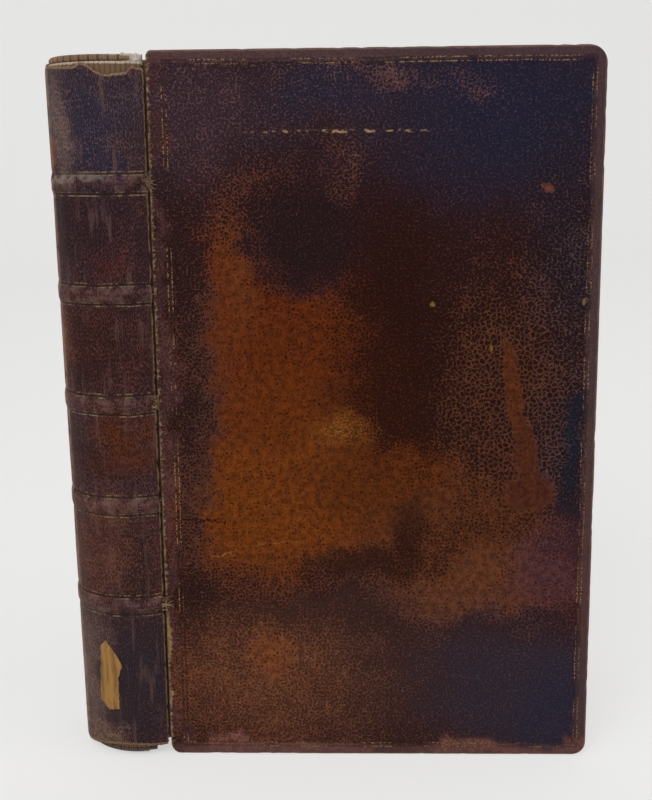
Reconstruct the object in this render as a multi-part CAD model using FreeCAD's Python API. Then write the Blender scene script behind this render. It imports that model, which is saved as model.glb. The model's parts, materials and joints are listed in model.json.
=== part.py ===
import FreeCAD, Part
import math
import os

Vector = FreeCAD.Vector

# An old book in full calf, standing upright on its tail with the front cover ajar.
# X runs from the front joint to the fore-edge, Y from the front cover to the back, Z up.
# The front outer joint is the line x = 0, y = 0 until the last step moves the book
# so that the centre of its base lies at the origin.

# Covers
COVER_HEIGHT = 200.0
COVER_WIDTH = 121.5
BOARD_THICKNESS = 3.0
LEATHER_THICKNESS = 0.8
EDGE_ROUNDING = 1.0
CORNER_HEAD_JOINT = 1.5
CORNER_HEAD_FORE = 5.0
CORNER_TAIL_FORE = 4.0
CORNER_TAIL_JOINT = 3.0
TURN_IN_WIDTH = 13.0
TURN_IN_THICKNESS = 0.4
PAPER_THICKNESS = 0.25
PASTEDOWN_MARGIN = 4.0
PASTEDOWN_START = 1.5
FRONT_AJAR_DEG = 18.0

# Whole book
BOOK_THICKNESS = 33.0
COCK = 14.0
SPINE_ROUND_HEAD = 17.5
SPINE_ROUND_TAIL = 14.8

# Text block
SQUARE = 3.0
GATHERINGS = 36
FOLD_GROOVE = 0.35
FORE_EDGE_HOLLOW = 6.0

# Raised cords and bands, heights over the tail
BAND_HEIGHTS = (165.5, 135.9, 105.4, 76.5, 47.0)
BAND_WIDTH = 6.0
BAND_RISE = 1.4
BAND_ROOT = 0.15
CORD_WIDTH = 4.0
CORD_HEIGHT = 1.5
BAND_FACETS = 6
BAND_END = 2.4
CORD_END = 3.0
CROWN_DEG = 27.0
CROWN_RISE = 0.3
CROWN_SHIFT = 1.67
CROWN_LEATHER = 0.6

# Slips of the cords in the boards
SLIP_WIDTH = 4.0
SLIP_DEPTH = 2.0
SLIP_RUN = 9.0
SLIP_HOLE_RADIUS = 1.5
SLIP_TAIL_WIDTH = 6.0
SLIP_TAIL_DEPTH = 1.2
SLIP_TAIL_RUN = 7.0
JOINT_CORD_RADIUS = 0.6
JOINT_CORD_DEPTH = 2.2

# Endbands
ENDBAND_SIDES = 8
ENDBAND_CORE_RADIUS = 0.6
ENDBAND_SILK_RADIUS = 0.95
ENDBAND_CORE_END_DEG = 11.0
ENDBAND_SILK_END_DEG = 20.0

# Back joint leather
JOINT_STRIP_ON_SPINE = 2.0
JOINT_STRIP_ON_BOARD = 2.5

# Clearances
JOINT_GAP = 0.35
SHOULDER_GAP = 0.6
CLOSING_GAP = 0.3
PASTE_FILM = 0.16
ENDBAND_SEAT = 0.2
JOINT_CORD_SEAT = 0.12

# Worn edges of the spine leather as (distance from the spine's middle, height over the tail
# or depth under the head), from the front joint round to the back joint
HEAD_WEAR = ((-17.8, 4.6), (-17.5, 4.0), (-17.1, 5.8), (-14.8, 6.4), (-12.9, 5.5), (-11.3, 3.8),
             (-9.8, 3.2), (-7.9, 4.1), (-3.9, 4.0), (2.4, 3.7), (8.0, 3.0), (13.0, 1.9), (17.0, 1.2))
TAIL_WEAR = ((-17.6, 3.3), (-13.3, 4.0), (-8.6, 3.7), (-3.4, 2.7), (3.0, 1.5), (8.0, 0.4),
             (11.0, 0.0))

# Scrap of the paper label as (distance from the spine's middle, height over the tail)
LABEL_OUTLINE = ((-5.6, 34.2), (-7.4, 36.1), (-10.1, 32.0), (-11.5, 29.0), (-10.4, 24.6),
                 (-10.2, 15.2), (-7.4, 14.6), (-4.3, 17.3))
LABEL_THICKNESS = 0.15

COVER_DEPTH = LEATHER_THICKNESS + BOARD_THICKNESS + TURN_IN_THICKNESS
TEXT_START = COVER_DEPTH + PAPER_THICKNESS + CLOSING_GAP
TEXT_WIDTH = COVER_WIDTH - SQUARE
CHORD = math.hypot(BOOK_THICKNESS, COCK)
ALONG = Vector(-COCK / CHORD, BOOK_THICKNESS / CHORD, 0)
OUTWARD = Vector(-ALONG.y, ALONG.x, 0)
MID_CHORD = ALONG * (CHORD / 2)
BACK_JOINT = Vector(-COCK, BOOK_THICKNESS, 0)


def spine_circle(height):
    """Centre, radius and half angle of the round of the spine at a height over the tail."""
    share = height / COVER_HEIGHT
    rise = SPINE_ROUND_TAIL + (SPINE_ROUND_HEAD - SPINE_ROUND_TAIL) * share
    radius = (CHORD * CHORD / 4 + rise * rise) / (2 * rise)
    centre = MID_CHORD - OUTWARD * (radius - rise)
    return centre, radius, math.atan2(CHORD / 2, radius - rise)


def spine_point(height, angle, inset=0.0):
    """Point on the spine, at an angle from its middle towards the back and under the skin."""
    centre, radius, _ = spine_circle(height)
    direction = OUTWARD * math.cos(angle) + ALONG * math.sin(angle)
    return centre + direction * (radius - inset) + Vector(0, 0, height)


def spine_angle(height, inset, x, at_back):
    """Angle at which a circle inside the spine passes the given x, near one of the joints."""
    centre, radius, _ = spine_circle(height)
    dx = x - centre.x
    dy = math.sqrt((radius - inset) ** 2 - dx * dx)
    away = Vector(dx, dy if at_back else -dy, 0)
    return math.atan2(away.dot(ALONG), away.dot(OUTWARD))


def line(start, end):
    """Straight edge."""
    return Part.LineSegment(start, end).toShape()


def arc(start, middle, end):
    """Round edge through three points."""
    return Part.Arc(start, middle, end).toShape()


def polygon(points):
    """Flat face with straight sides."""
    return Part.Face(Part.makePolygon(list(points) + [points[0]]))


def block(x, y, z):
    """Box between the two values of each pair."""
    return Part.makeBox(x[1] - x[0], y[1] - y[0], z[1] - z[0], Vector(x[0], y[0], z[0]))


def between_heights(section, low, high):
    """Straight-sided solid between the same section at two heights."""
    return Part.makeLoft([section(low), section(high)], True, True)


def rounded_plate(x, z, y, radii):
    """Upright plate with round corners: head joint, head fore-edge, tail fore-edge, tail joint."""
    places = ((x[0], z[1], 1, -1), (x[1], z[1], -1, -1), (x[1], z[0], -1, 1), (x[0], z[0], 1, 1))
    edges = []
    last = None
    first = None
    for number, (cx, cz, to_x, to_z) in enumerate(places):
        r = max(radii[number], 0.01)
        on_side = Vector(cx, y[0], cz + to_z * r)
        on_end = Vector(cx + to_x * r, y[0], cz)
        bulge = r * (1 - math.sqrt(0.5))
        middle = Vector(cx + to_x * bulge, y[0], cz + to_z * bulge)
        start, end = (on_side, on_end) if number % 2 == 0 else (on_end, on_side)
        if last is None:
            first = start
        else:
            edges.append(line(last, start))
        edges.append(arc(start, middle, end))
        last = end
    edges.append(line(last, first))
    return Part.Face(Part.Wire(edges)).extrude(Vector(0, y[1] - y[0], 0))


def corner_radii(inset):
    """Radii of the cover's corners, or of a piece that lies inside them."""
    outer = (CORNER_HEAD_JOINT, CORNER_HEAD_FORE, CORNER_TAIL_FORE, CORNER_TAIL_JOINT)
    return [radius - inset for radius in outer]


def board_blank():
    """Pasteboard of a cover, before the slips are laced in."""
    return rounded_plate((JOINT_GAP, COVER_WIDTH - LEATHER_THICKNESS),
                         (LEATHER_THICKNESS, COVER_HEIGHT - LEATHER_THICKNESS),
                         (LEATHER_THICKNESS, LEATHER_THICKNESS + BOARD_THICKNESS),
                         corner_radii(LEATHER_THICKNESS))


def cord_slip(height):
    """One slip: over the outside of the board, through its hole and fanned out inside."""
    outside = LEATHER_THICKNESS
    inside = LEATHER_THICKNESS + BOARD_THICKNESS
    hole_x = JOINT_GAP + SLIP_RUN
    run = block((JOINT_GAP, hole_x), (outside, outside + SLIP_DEPTH),
                (height - SLIP_WIDTH / 2, height + SLIP_WIDTH / 2))
    plug = Part.makeCylinder(SLIP_HOLE_RADIUS, BOARD_THICKNESS, Vector(hole_x, outside, height),
                             Vector(0, 1, 0))
    corners = ((hole_x, -SLIP_WIDTH / 2), (hole_x + SLIP_TAIL_RUN, -SLIP_TAIL_WIDTH / 2),
               (hole_x + SLIP_TAIL_RUN, SLIP_TAIL_WIDTH / 2), (hole_x, SLIP_WIDTH / 2))
    fan = polygon([Vector(x, inside - SLIP_TAIL_DEPTH, height + z) for x, z in corners])
    fan = fan.extrude(Vector(0, SLIP_TAIL_DEPTH, 0))
    return run.fuse([plug, fan]).removeSplitter()


def window():
    """Sides of the opening between the turned-in edges of the leather."""
    return ((JOINT_GAP, COVER_WIDTH - TURN_IN_WIDTH),
            (TURN_IN_WIDTH, COVER_HEIGHT - TURN_IN_WIDTH))


def cover_leather(strip):
    """Leather over the outside of a board and turned in at three edges, from strip on."""
    skin = rounded_plate((JOINT_GAP, COVER_WIDTH), (0, COVER_HEIGHT), (0, COVER_DEPTH),
                         corner_radii(0))
    rounding = min(EDGE_ROUNDING, COVER_DEPTH * 0.45, CORNER_HEAD_JOINT * 0.9)
    rim = []
    for edge in skin.Edges:
        box = edge.BoundBox
        flat = box.YLength < 0.001
        at_joint = box.XMax < JOINT_GAP + 0.001
        if flat and not at_joint:
            rim.append(edge)
    skin = skin.makeFillet(rounding, rim)
    across, up = window()
    inner = LEATHER_THICKNESS + BOARD_THICKNESS
    opening = block(across, (inner, COVER_DEPTH), up)
    skin = skin.cut([board_blank(), opening])
    if strip > JOINT_GAP:
        lost = block((JOINT_GAP, strip), (0, LEATHER_THICKNESS), (0, COVER_HEIGHT))
        skin = skin.cut(lost)
    return skin


def pastedown():
    """Paper over the inside of a cover, stepping up onto the turned-in leather."""
    across, up = window()
    low = LEATHER_THICKNESS + BOARD_THICKNESS
    high = low + TURN_IN_THICKNESS
    full_x = (PASTEDOWN_START, COVER_WIDTH - PASTEDOWN_MARGIN)
    full_z = (PASTEDOWN_MARGIN, COVER_HEIGHT - PASTEDOWN_MARGIN)
    well_x = (PASTEDOWN_START, across[1])
    floor = block(well_x, (low, low + PAPER_THICKNESS), up)
    step = block(well_x, (low, high + PAPER_THICKNESS), up)
    hollow = block((PASTEDOWN_START, across[1] - PAPER_THICKNESS), (low, high + PAPER_THICKNESS),
                   (up[0] + PAPER_THICKNESS, up[1] - PAPER_THICKNESS))
    rim = block(full_x, (high, high + PAPER_THICKNESS), full_z).cut(step)
    return rim.fuse([step.cut(hollow), floor]).removeSplitter()


def cover_pieces(strip):
    """Board, leather, pastedown and slips of a cover that lies at y = 0 and up."""
    slips = [cord_slip(height) for height in BAND_HEIGHTS]
    return {
        "board": board_blank().cut(slips),
        "board_leather": cover_leather(strip),
        "pastedown": pastedown(),
        "cord_slips": Part.makeCompound(slips),
    }


def front_cover():
    """The front cover, standing ajar about the front joint."""
    pieces = {}
    for name, shape in cover_pieces(JOINT_GAP).items():
        shape.rotate(Vector(0, 0, 0), Vector(0, 0, 1), -FRONT_AJAR_DEG)
        pieces["front_" + name] = shape
    return pieces


def back_cover():
    """The back cover, closed, as the front one seen in a mirror."""
    pieces = {}
    for name, shape in cover_pieces(JOINT_STRIP_ON_BOARD).items():
        turned = shape.mirror(Vector(0, 0, 0), Vector(0, 1, 0))
        turned.translate(BACK_JOINT)
        pieces["back_" + name] = turned
    return pieces


def text_section(height):
    """Outline of the leaves at a height: sewn folds, shoulders and hollow fore-edge."""
    crest = LEATHER_THICKNESS + PASTE_FILM
    groove = crest + FOLD_GROOVE
    first = spine_angle(height, groove, -SHOULDER_GAP, False)
    last = spine_angle(height, groove, -COCK - SHOULDER_GAP, True)
    step = (last - first) / GATHERINGS
    edges = []
    for number in range(GATHERINGS):
        angle = first + step * number
        edges.append(arc(spine_point(height, angle, groove),
                         spine_point(height, angle + step / 2, crest),
                         spine_point(height, angle + step, groove)))
    back_y = BOOK_THICKNESS - TEXT_START - PAPER_THICKNESS
    front_y = TEXT_START + PAPER_THICKNESS
    back_shoulder = Vector(-COCK - SHOULDER_GAP, back_y, height)
    back_corner = Vector(TEXT_WIDTH - COCK, back_y, height)
    front_corner = Vector(TEXT_WIDTH, front_y, height)
    front_shoulder = Vector(-SHOULDER_GAP, front_y, height)
    hollow = (back_corner + front_corner) * 0.5 - Vector(FORE_EDGE_HOLLOW, 0, 0)
    edges.append(line(spine_point(height, last, groove), back_shoulder))
    edges.append(line(back_shoulder, back_corner))
    edges.append(arc(back_corner, hollow, front_corner))
    edges.append(line(front_corner, front_shoulder))
    edges.append(line(front_shoulder, spine_point(height, first, groove)))
    return Part.Wire(edges)


def free_endpaper(joint_x, y):
    """Loose leaf between a cover and the text, its face nearer the front at y."""
    return block((joint_x, joint_x + TEXT_WIDTH), (y, y + PAPER_THICKNESS),
                 (SQUARE, COVER_HEIGHT - SQUARE))


def round_the_spine(height, profile, margin):
    """Turn a profile round the spine, between points at a margin from the two joints.

    The profile is a function: it is handed the maker of a point from its steps outward
    and up, and gives the edges.
    """
    centre, radius, half = spine_circle(height)
    start = -half + margin / radius
    sweep = 2 * (half - margin / radius)
    direction = OUTWARD * math.cos(start) + ALONG * math.sin(start)

    def place(outward, up):
        return centre + direction * (radius + outward) + Vector(0, 0, height + up)

    face = Part.Face(Part.Wire(profile(place)))
    return face.revolve(centre, Vector(0, 0, -1), math.degrees(sweep))


def band_profile(place):
    """Low rounded ridge that grows out of the spine leather."""
    root = -LEATHER_THICKNESS / 2
    points = []
    for number in range(BAND_FACETS + 1):
        up = BAND_WIDTH * (number / BAND_FACETS - 0.5)
        swell = math.cos(math.pi * up / BAND_WIDTH) ** 2
        points.append(place((BAND_RISE + BAND_ROOT) * swell - BAND_ROOT, up))
    points += [place(root, BAND_WIDTH / 2), place(root, -BAND_WIDTH / 2), points[0]]
    return [line(start, end) for start, end in zip(points, points[1:])]


def cord_profile(place):
    """Flattened cord with its flat side on the folds."""
    base = -LEATHER_THICKNESS - PASTE_FILM / 2
    half = CORD_WIDTH / 2
    steps = ((0, -half), (CORD_HEIGHT * 0.75, -half / 2), (CORD_HEIGHT, 0),
             (CORD_HEIGHT * 0.75, half / 2), (0, half), (0, -half))
    points = [place(base + out, up) for out, up in steps]
    return [line(start, end) for start, end in zip(points, points[1:])]


def rubbed_crown(height, rise, width):
    """Round solid that leaves the given rise over the crown of the spine, where it is rubbed."""
    centre, radius, _ = spine_circle(height)
    angle = math.radians(CROWN_DEG)
    crown = OUTWARD * math.cos(angle) + ALONG * math.sin(angle)
    base = centre - crown * CROWN_SHIFT + Vector(0, 0, height - width)
    return Part.makeCylinder(radius + rise + CROWN_SHIFT, 2 * width, base)


def sewing_cord(height):
    """Raised cord that the gatherings are sewn to."""
    cord = round_the_spine(height, cord_profile, CORD_END)
    return cord.common(rubbed_crown(height, CROWN_RISE - CROWN_LEATHER, CORD_WIDTH))


def spine_band(height):
    """Leather over one raised cord."""
    band = round_the_spine(height, band_profile, BAND_END)
    return band.common(rubbed_crown(height, CROWN_RISE, BAND_WIDTH))


def spine_shell(outset, thickness, front_gap, back_gap, low, high):
    """Sheet that follows the round of the spine, outset from the leather's face."""

    def section(height):
        _, radius, half = spine_circle(height)
        start = -half + front_gap / radius
        end = half - back_gap / radius
        middle = (start + end) / 2
        outer = [spine_point(height, angle, -outset) for angle in (start, middle, end)]
        inner = [spine_point(height, angle, thickness - outset) for angle in (start, middle, end)]
        return Part.Wire([arc(*outer), line(outer[2], inner[2]), arc(*inner[::-1]),
                          line(inner[0], outer[0])])

    return between_heights(section, low, high)


def facing_prism(outline):
    """Prism through the spine, from an outline of (distance from its middle, height)."""
    reach = CHORD
    points = []
    for across, height in outline:
        points.append(MID_CHORD + ALONG * across - OUTWARD * reach + Vector(0, 0, height))
    return polygon(points).extrude(OUTWARD * (2 * reach + BAND_RISE))


def worn_away():
    """What wear has taken from the head and the tail of the spine leather."""
    beyond = CHORD
    head = [(across, COVER_HEIGHT - depth) for across, depth in HEAD_WEAR]
    head = [(-beyond, head[0][1])] + head + [(beyond, head[-1][1])]
    head += [(beyond, COVER_HEIGHT + SQUARE), (-beyond, COVER_HEIGHT + SQUARE)]
    tail = [(-beyond, TAIL_WEAR[0][1])] + list(TAIL_WEAR)
    tail += [(TAIL_WEAR[-1][0], -SQUARE), (-beyond, -SQUARE)]
    return [facing_prism(head), facing_prism(tail)]


def spine_leather(cords):
    """Leather glued to the folds over the raised cords, with worn ends."""
    shell = spine_shell(0.0, LEATHER_THICKNESS, JOINT_GAP, JOINT_STRIP_ON_SPINE, 0, COVER_HEIGHT)
    bands = [spine_band(height) for height in BAND_HEIGHTS]
    return shell.fuse(bands).cut(cords + worn_away())


def label_remnant():
    """Scrap of a paper label on the spine."""
    patch = spine_shell(LABEL_THICKNESS, LABEL_THICKNESS, JOINT_GAP, JOINT_STRIP_ON_SPINE,
                        0, COVER_HEIGHT)
    return patch.common(facing_prism(LABEL_OUTLINE))


def back_joint_leather():
    """Strip of leather that bends when the back cover opens."""

    def section(height):
        centre, radius, half = spine_circle(height)
        far = half - JOINT_STRIP_ON_SPINE / radius
        inner_y = BOOK_THICKNESS - LEATHER_THICKNESS
        reach = math.sqrt((radius - LEATHER_THICKNESS) ** 2 - (inner_y - centre.y) ** 2)
        fold = Vector(centre.x - reach, inner_y, 0)
        away = fold - centre
        near = math.atan2(away.dot(ALONG), away.dot(OUTWARD))
        outer = [spine_point(height, angle) for angle in (far, (far + half) / 2, half)]
        inner = [spine_point(height, angle, LEATHER_THICKNESS)
                 for angle in (near, (near + far) / 2, far)]
        edge = BACK_JOINT + Vector(JOINT_STRIP_ON_BOARD, 0, height)
        under = edge - Vector(0, LEATHER_THICKNESS, 0)
        return Part.Wire([arc(*outer), line(outer[2], edge), line(edge, under),
                          line(under, inner[0]), arc(*inner), line(inner[2], outer[0])])

    return between_heights(section, 0, COVER_HEIGHT)


def joint_cords(starts, ends):
    """Short bare stretches of the cords that cross a joint."""
    cords = []
    for start, end in zip(starts, ends):
        along = end - start
        cords.append(Part.makeCylinder(JOINT_CORD_RADIUS, along.Length, start, along))
    return Part.makeCompound(cords)


def front_joint_cords():
    """Cords over the cracked front joint."""
    turn = FreeCAD.Rotation(Vector(0, 0, 1), -FRONT_AJAR_DEG)
    starts = []
    ends = []
    for height in BAND_HEIGHTS:
        shoulder = Vector(-SHOULDER_GAP, JOINT_CORD_DEPTH, height)
        board = turn.multVec(Vector(JOINT_GAP, JOINT_CORD_DEPTH, height))
        along = board - shoulder
        seat = along * (JOINT_CORD_SEAT / along.Length)
        starts.append(shoulder + seat)
        ends.append(board - seat)
    return joint_cords(starts, ends)


def back_joint_cords():
    """Cords over the sound back joint."""
    depth = BOOK_THICKNESS - JOINT_CORD_DEPTH
    starts = [Vector(-COCK - SHOULDER_GAP, depth, height) for height in BAND_HEIGHTS]
    ends = [Vector(-COCK + JOINT_GAP, depth, height) for height in BAND_HEIGHTS]
    return joint_cords(starts, ends)


def endband(base, up, inner_radius, outer_radius, end_deg):
    """Rod, or sleeve round one, laid round the spine on the end of the leaves at base."""
    inset = LEATHER_THICKNESS + PASTE_FILM + ENDBAND_SEAT + ENDBAND_SILK_RADIUS
    centre, radius, half = spine_circle(base)
    margin = math.radians(end_deg)
    start = -half + margin
    direction = OUTWARD * math.cos(start) + ALONG * math.sin(start)
    middle = centre + direction * (radius - inset)
    middle += Vector(0, 0, base + up * ENDBAND_SILK_RADIUS)

    def section(size):
        corners = []
        for number in range(ENDBAND_SIDES):
            turn = 2 * math.pi * number / ENDBAND_SIDES
            corners.append(middle + direction * (size * math.cos(turn))
                           + Vector(0, 0, size * math.sin(turn)))
        return polygon(corners)

    ring = section(outer_radius)
    if inner_radius > 0:
        ring = ring.cut(section(inner_radius))
    return ring.revolve(centre, Vector(0, 0, -1), math.degrees(2 * (half - margin)))


def endbands():
    """Cores and silk of the endbands at the head and the tail."""
    pieces = {}
    for name, base, up in (("head", COVER_HEIGHT - SQUARE, 1), ("tail", SQUARE, -1)):
        pieces[name + "_endband_core"] = endband(base, up, 0, ENDBAND_CORE_RADIUS,
                                                 ENDBAND_CORE_END_DEG)
        pieces[name + "_endband_silk"] = endband(base, up, ENDBAND_CORE_RADIUS,
                                                 ENDBAND_SILK_RADIUS, ENDBAND_SILK_END_DEG)
    return pieces


def book_block():
    """Leaves, cords, endbands and spine leather: all that stays still when a cover opens."""
    cords = [sewing_cord(height) for height in BAND_HEIGHTS]
    pieces = {
        "text_block": between_heights(text_section, SQUARE, COVER_HEIGHT - SQUARE),
        "spine_leather": spine_leather(cords),
        "label_remnant": label_remnant(),
        "front_free_endpaper": free_endpaper(0, TEXT_START),
        "back_free_endpaper": free_endpaper(-COCK, BOOK_THICKNESS - TEXT_START - PAPER_THICKNESS),
        "front_joint_cords": front_joint_cords(),
        "back_joint_cords": back_joint_cords(),
        "back_joint_leather": back_joint_leather(),
    }
    for number, cord in enumerate(cords, start=1):
        pieces["sewing_cord_%d" % number] = cord
    pieces.update(endbands())
    return pieces


def whole_book():
    """Every piece by name, with the middle of the book's base at the origin."""
    pieces = book_block()
    pieces.update(front_cover())
    pieces.update(back_cover())
    box = Part.makeCompound(list(pieces.values())).optimalBoundingBox(False, False)
    shift = Vector(-(box.XMin + box.XMax) / 2, -(box.YMin + box.YMax) / 2, -box.ZMin)
    for shape in pieces.values():
        shape.translate(shift)
    print("size %.2f %.2f %.2f" % (box.XLength, box.YLength, box.ZLength))
    print("front joint %.4f %.4f" % (shift.x, shift.y))
    print("back joint %.4f %.4f" % (BACK_JOINT.x + shift.x, BACK_JOINT.y + shift.y))
    return pieces


def main():
    """Write one file for each piece."""
    os.makedirs("parts", exist_ok=True)
    for name, shape in whole_book().items():
        shape.exportStep("parts/%s.step" % name)
        print("%s: %d solids, %.1f mm3, valid %s" % (name, len(shape.Solids), shape.Volume,
                                                    shape.isValid()))


main()
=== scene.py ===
"""The look of an old book in full calf, dressed over its frame of boards, leaves and cords."""

import json
import logging
import math
import random
from collections.abc import Callable, Sequence
from dataclasses import dataclass
from enum import Enum
from functools import reduce

import bmesh
import bpy
from mathutils import Matrix, Vector, noise

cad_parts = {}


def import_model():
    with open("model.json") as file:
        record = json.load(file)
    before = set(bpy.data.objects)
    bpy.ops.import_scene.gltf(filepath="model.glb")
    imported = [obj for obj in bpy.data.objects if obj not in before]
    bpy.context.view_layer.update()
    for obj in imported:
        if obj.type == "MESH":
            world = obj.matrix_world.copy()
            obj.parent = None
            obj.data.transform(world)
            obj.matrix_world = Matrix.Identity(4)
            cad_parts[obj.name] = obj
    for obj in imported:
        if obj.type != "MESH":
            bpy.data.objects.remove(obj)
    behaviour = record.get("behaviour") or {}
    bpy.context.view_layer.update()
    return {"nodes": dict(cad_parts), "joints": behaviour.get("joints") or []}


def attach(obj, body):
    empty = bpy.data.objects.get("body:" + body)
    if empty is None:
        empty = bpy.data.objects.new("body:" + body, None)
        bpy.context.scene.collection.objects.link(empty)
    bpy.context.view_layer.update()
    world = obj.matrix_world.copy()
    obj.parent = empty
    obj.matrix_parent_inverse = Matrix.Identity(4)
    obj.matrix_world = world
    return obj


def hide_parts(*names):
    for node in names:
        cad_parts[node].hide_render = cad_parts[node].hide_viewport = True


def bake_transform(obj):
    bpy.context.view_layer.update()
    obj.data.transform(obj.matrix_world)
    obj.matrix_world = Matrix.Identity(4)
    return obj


LOG = logging.getLogger("book")
MM = 0.001
IMAGE_LONG_SIDE = 800
SENSOR_MM = 36.0
CUT_MERGE = 1e-4
BLOCK = "book_block"

Colour = tuple[int, int, int]
Outline = tuple[tuple[float, float], ...]
Socket = bpy.types.NodeSocket


def linear(colour: Colour) -> tuple[float, float, float, float]:
    """Turn a display colour of 0 to 255 into the linear colour that shaders use.

    Args:
        colour: Red, green and blue as they show on screen.

    Returns:
        Linear red, green, blue and an alpha of 1.
    """
    parts = []
    for value in colour:
        share = value / 255
        parts.append(share / 12.92 if share <= 0.04045 else ((share + 0.055) / 1.055) ** 2.4)
    return (*parts, 1.0)


def smooth(value: float, low: float, high: float) -> float:
    """Rise smoothly from 0 at low to 1 at high.

    Args:
        value: The number to place.
        low: Where the rise starts.
        high: Where it ends; it may lie below low.

    Returns:
        A share from 0 to 1.
    """
    share = min(max((value - low) / (high - low), 0.0), 1.0)
    return share * share * (3 - 2 * share)


def along_points(points: Outline, place: float) -> float:
    """Read a height from a worn outline.

    Args:
        points: Places and heights in rising order of place.
        place: Where to read.

    Returns:
        The height there, level beyond both ends.
    """
    if place <= points[0][0]:
        return points[0][1]
    for (x0, y0), (x1, y1) in zip(points, points[1:]):
        if place <= x1:
            return y0 + (y1 - y0) * (place - x0) / (x1 - x0)
    return points[-1][1]


class Cover(Enum):
    """The two covers by the body that each rides on."""

    FRONT = "front_cover"
    BACK = "back_cover"


@dataclass(frozen=True)
class BookForm:
    """Sizes of the binding in millimetres, and its spine and joints in the frame."""

    cover_height: float = 200.0
    cover_width: float = 121.5
    cover_depth: float = 4.2
    leather: float = 0.8
    thickness: float = 33.0
    cock: float = 14.0
    round_head: float = 17.5
    round_tail: float = 14.8
    joint_gap: float = 0.35
    strip_on_spine: float = 2.0
    strip_on_board: float = 2.5
    square: float = 3.0
    bands: tuple[float, ...] = (165.5, 135.9, 105.4, 76.5, 47.0)
    front_joint: tuple[float, float] = (0.0, 0.0)
    front_angle: float = math.radians(18)

    @property
    def chord(self) -> float:
        """Distance between the two joints."""
        return math.hypot(self.thickness, self.cock)

    @property
    def along(self) -> Vector:
        """Direction from the front joint to the back joint."""
        return Vector((-self.cock / self.chord, self.thickness / self.chord, 0))

    @property
    def outward(self) -> Vector:
        """Direction in which the spine is rounded."""
        return Vector((-self.along.y, self.along.x, 0))

    @property
    def origin(self) -> Vector:
        """Front joint, in millimetres in the frame."""
        return Vector((*self.front_joint, 0))

    @property
    def back_origin(self) -> Vector:
        """Back joint, in millimetres in the frame."""
        return self.origin + Vector((-self.cock, self.thickness, 0))

    @property
    def front_turn(self) -> Matrix:
        """Turn of the front cover, which stands ajar."""
        return Matrix.Rotation(-self.front_angle, 3, "Z")

    def circle(self, height: float) -> tuple[Vector, float, float]:
        """Round of the spine at a height.

        Args:
            height: Height over the tail.

        Returns:
            Centre in the frame, radius and half angle.
        """
        rise = self.round_tail + (self.round_head - self.round_tail) * height / self.cover_height
        radius = (self.chord ** 2 / 4 + rise * rise) / (2 * rise)
        centre = self.origin + self.along * (self.chord / 2) - self.outward * (radius - rise)
        return centre, radius, math.atan2(self.chord / 2, radius - rise)

    def unrolled(self, point: Vector) -> tuple[float, float]:
        """Place on the spine when it is laid flat.

        Args:
            point: Point in the frame, in millimetres.

        Returns:
            Distance round the spine from the front joint, and height.
        """
        centre, radius, half = self.circle(point.z)
        off = point - centre
        angle = math.atan2(off.dot(self.along), off.dot(self.outward))
        return radius * (angle + half), point.z

    def spine_point(self, height: float, angle: float, outset: float = 0.0) -> Vector:
        """Point on or over the spine leather, in millimetres.

        Args:
            height: Height over the tail.
            angle: Angle from the middle of the spine towards the back.
            outset: Distance outside the leather's face.

        Returns:
            The point in the frame.
        """
        centre, radius, _ = self.circle(height)
        direction = self.outward * math.cos(angle) + self.along * math.sin(angle)
        return centre + direction * (radius + outset) + Vector((0, 0, height))


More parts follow.
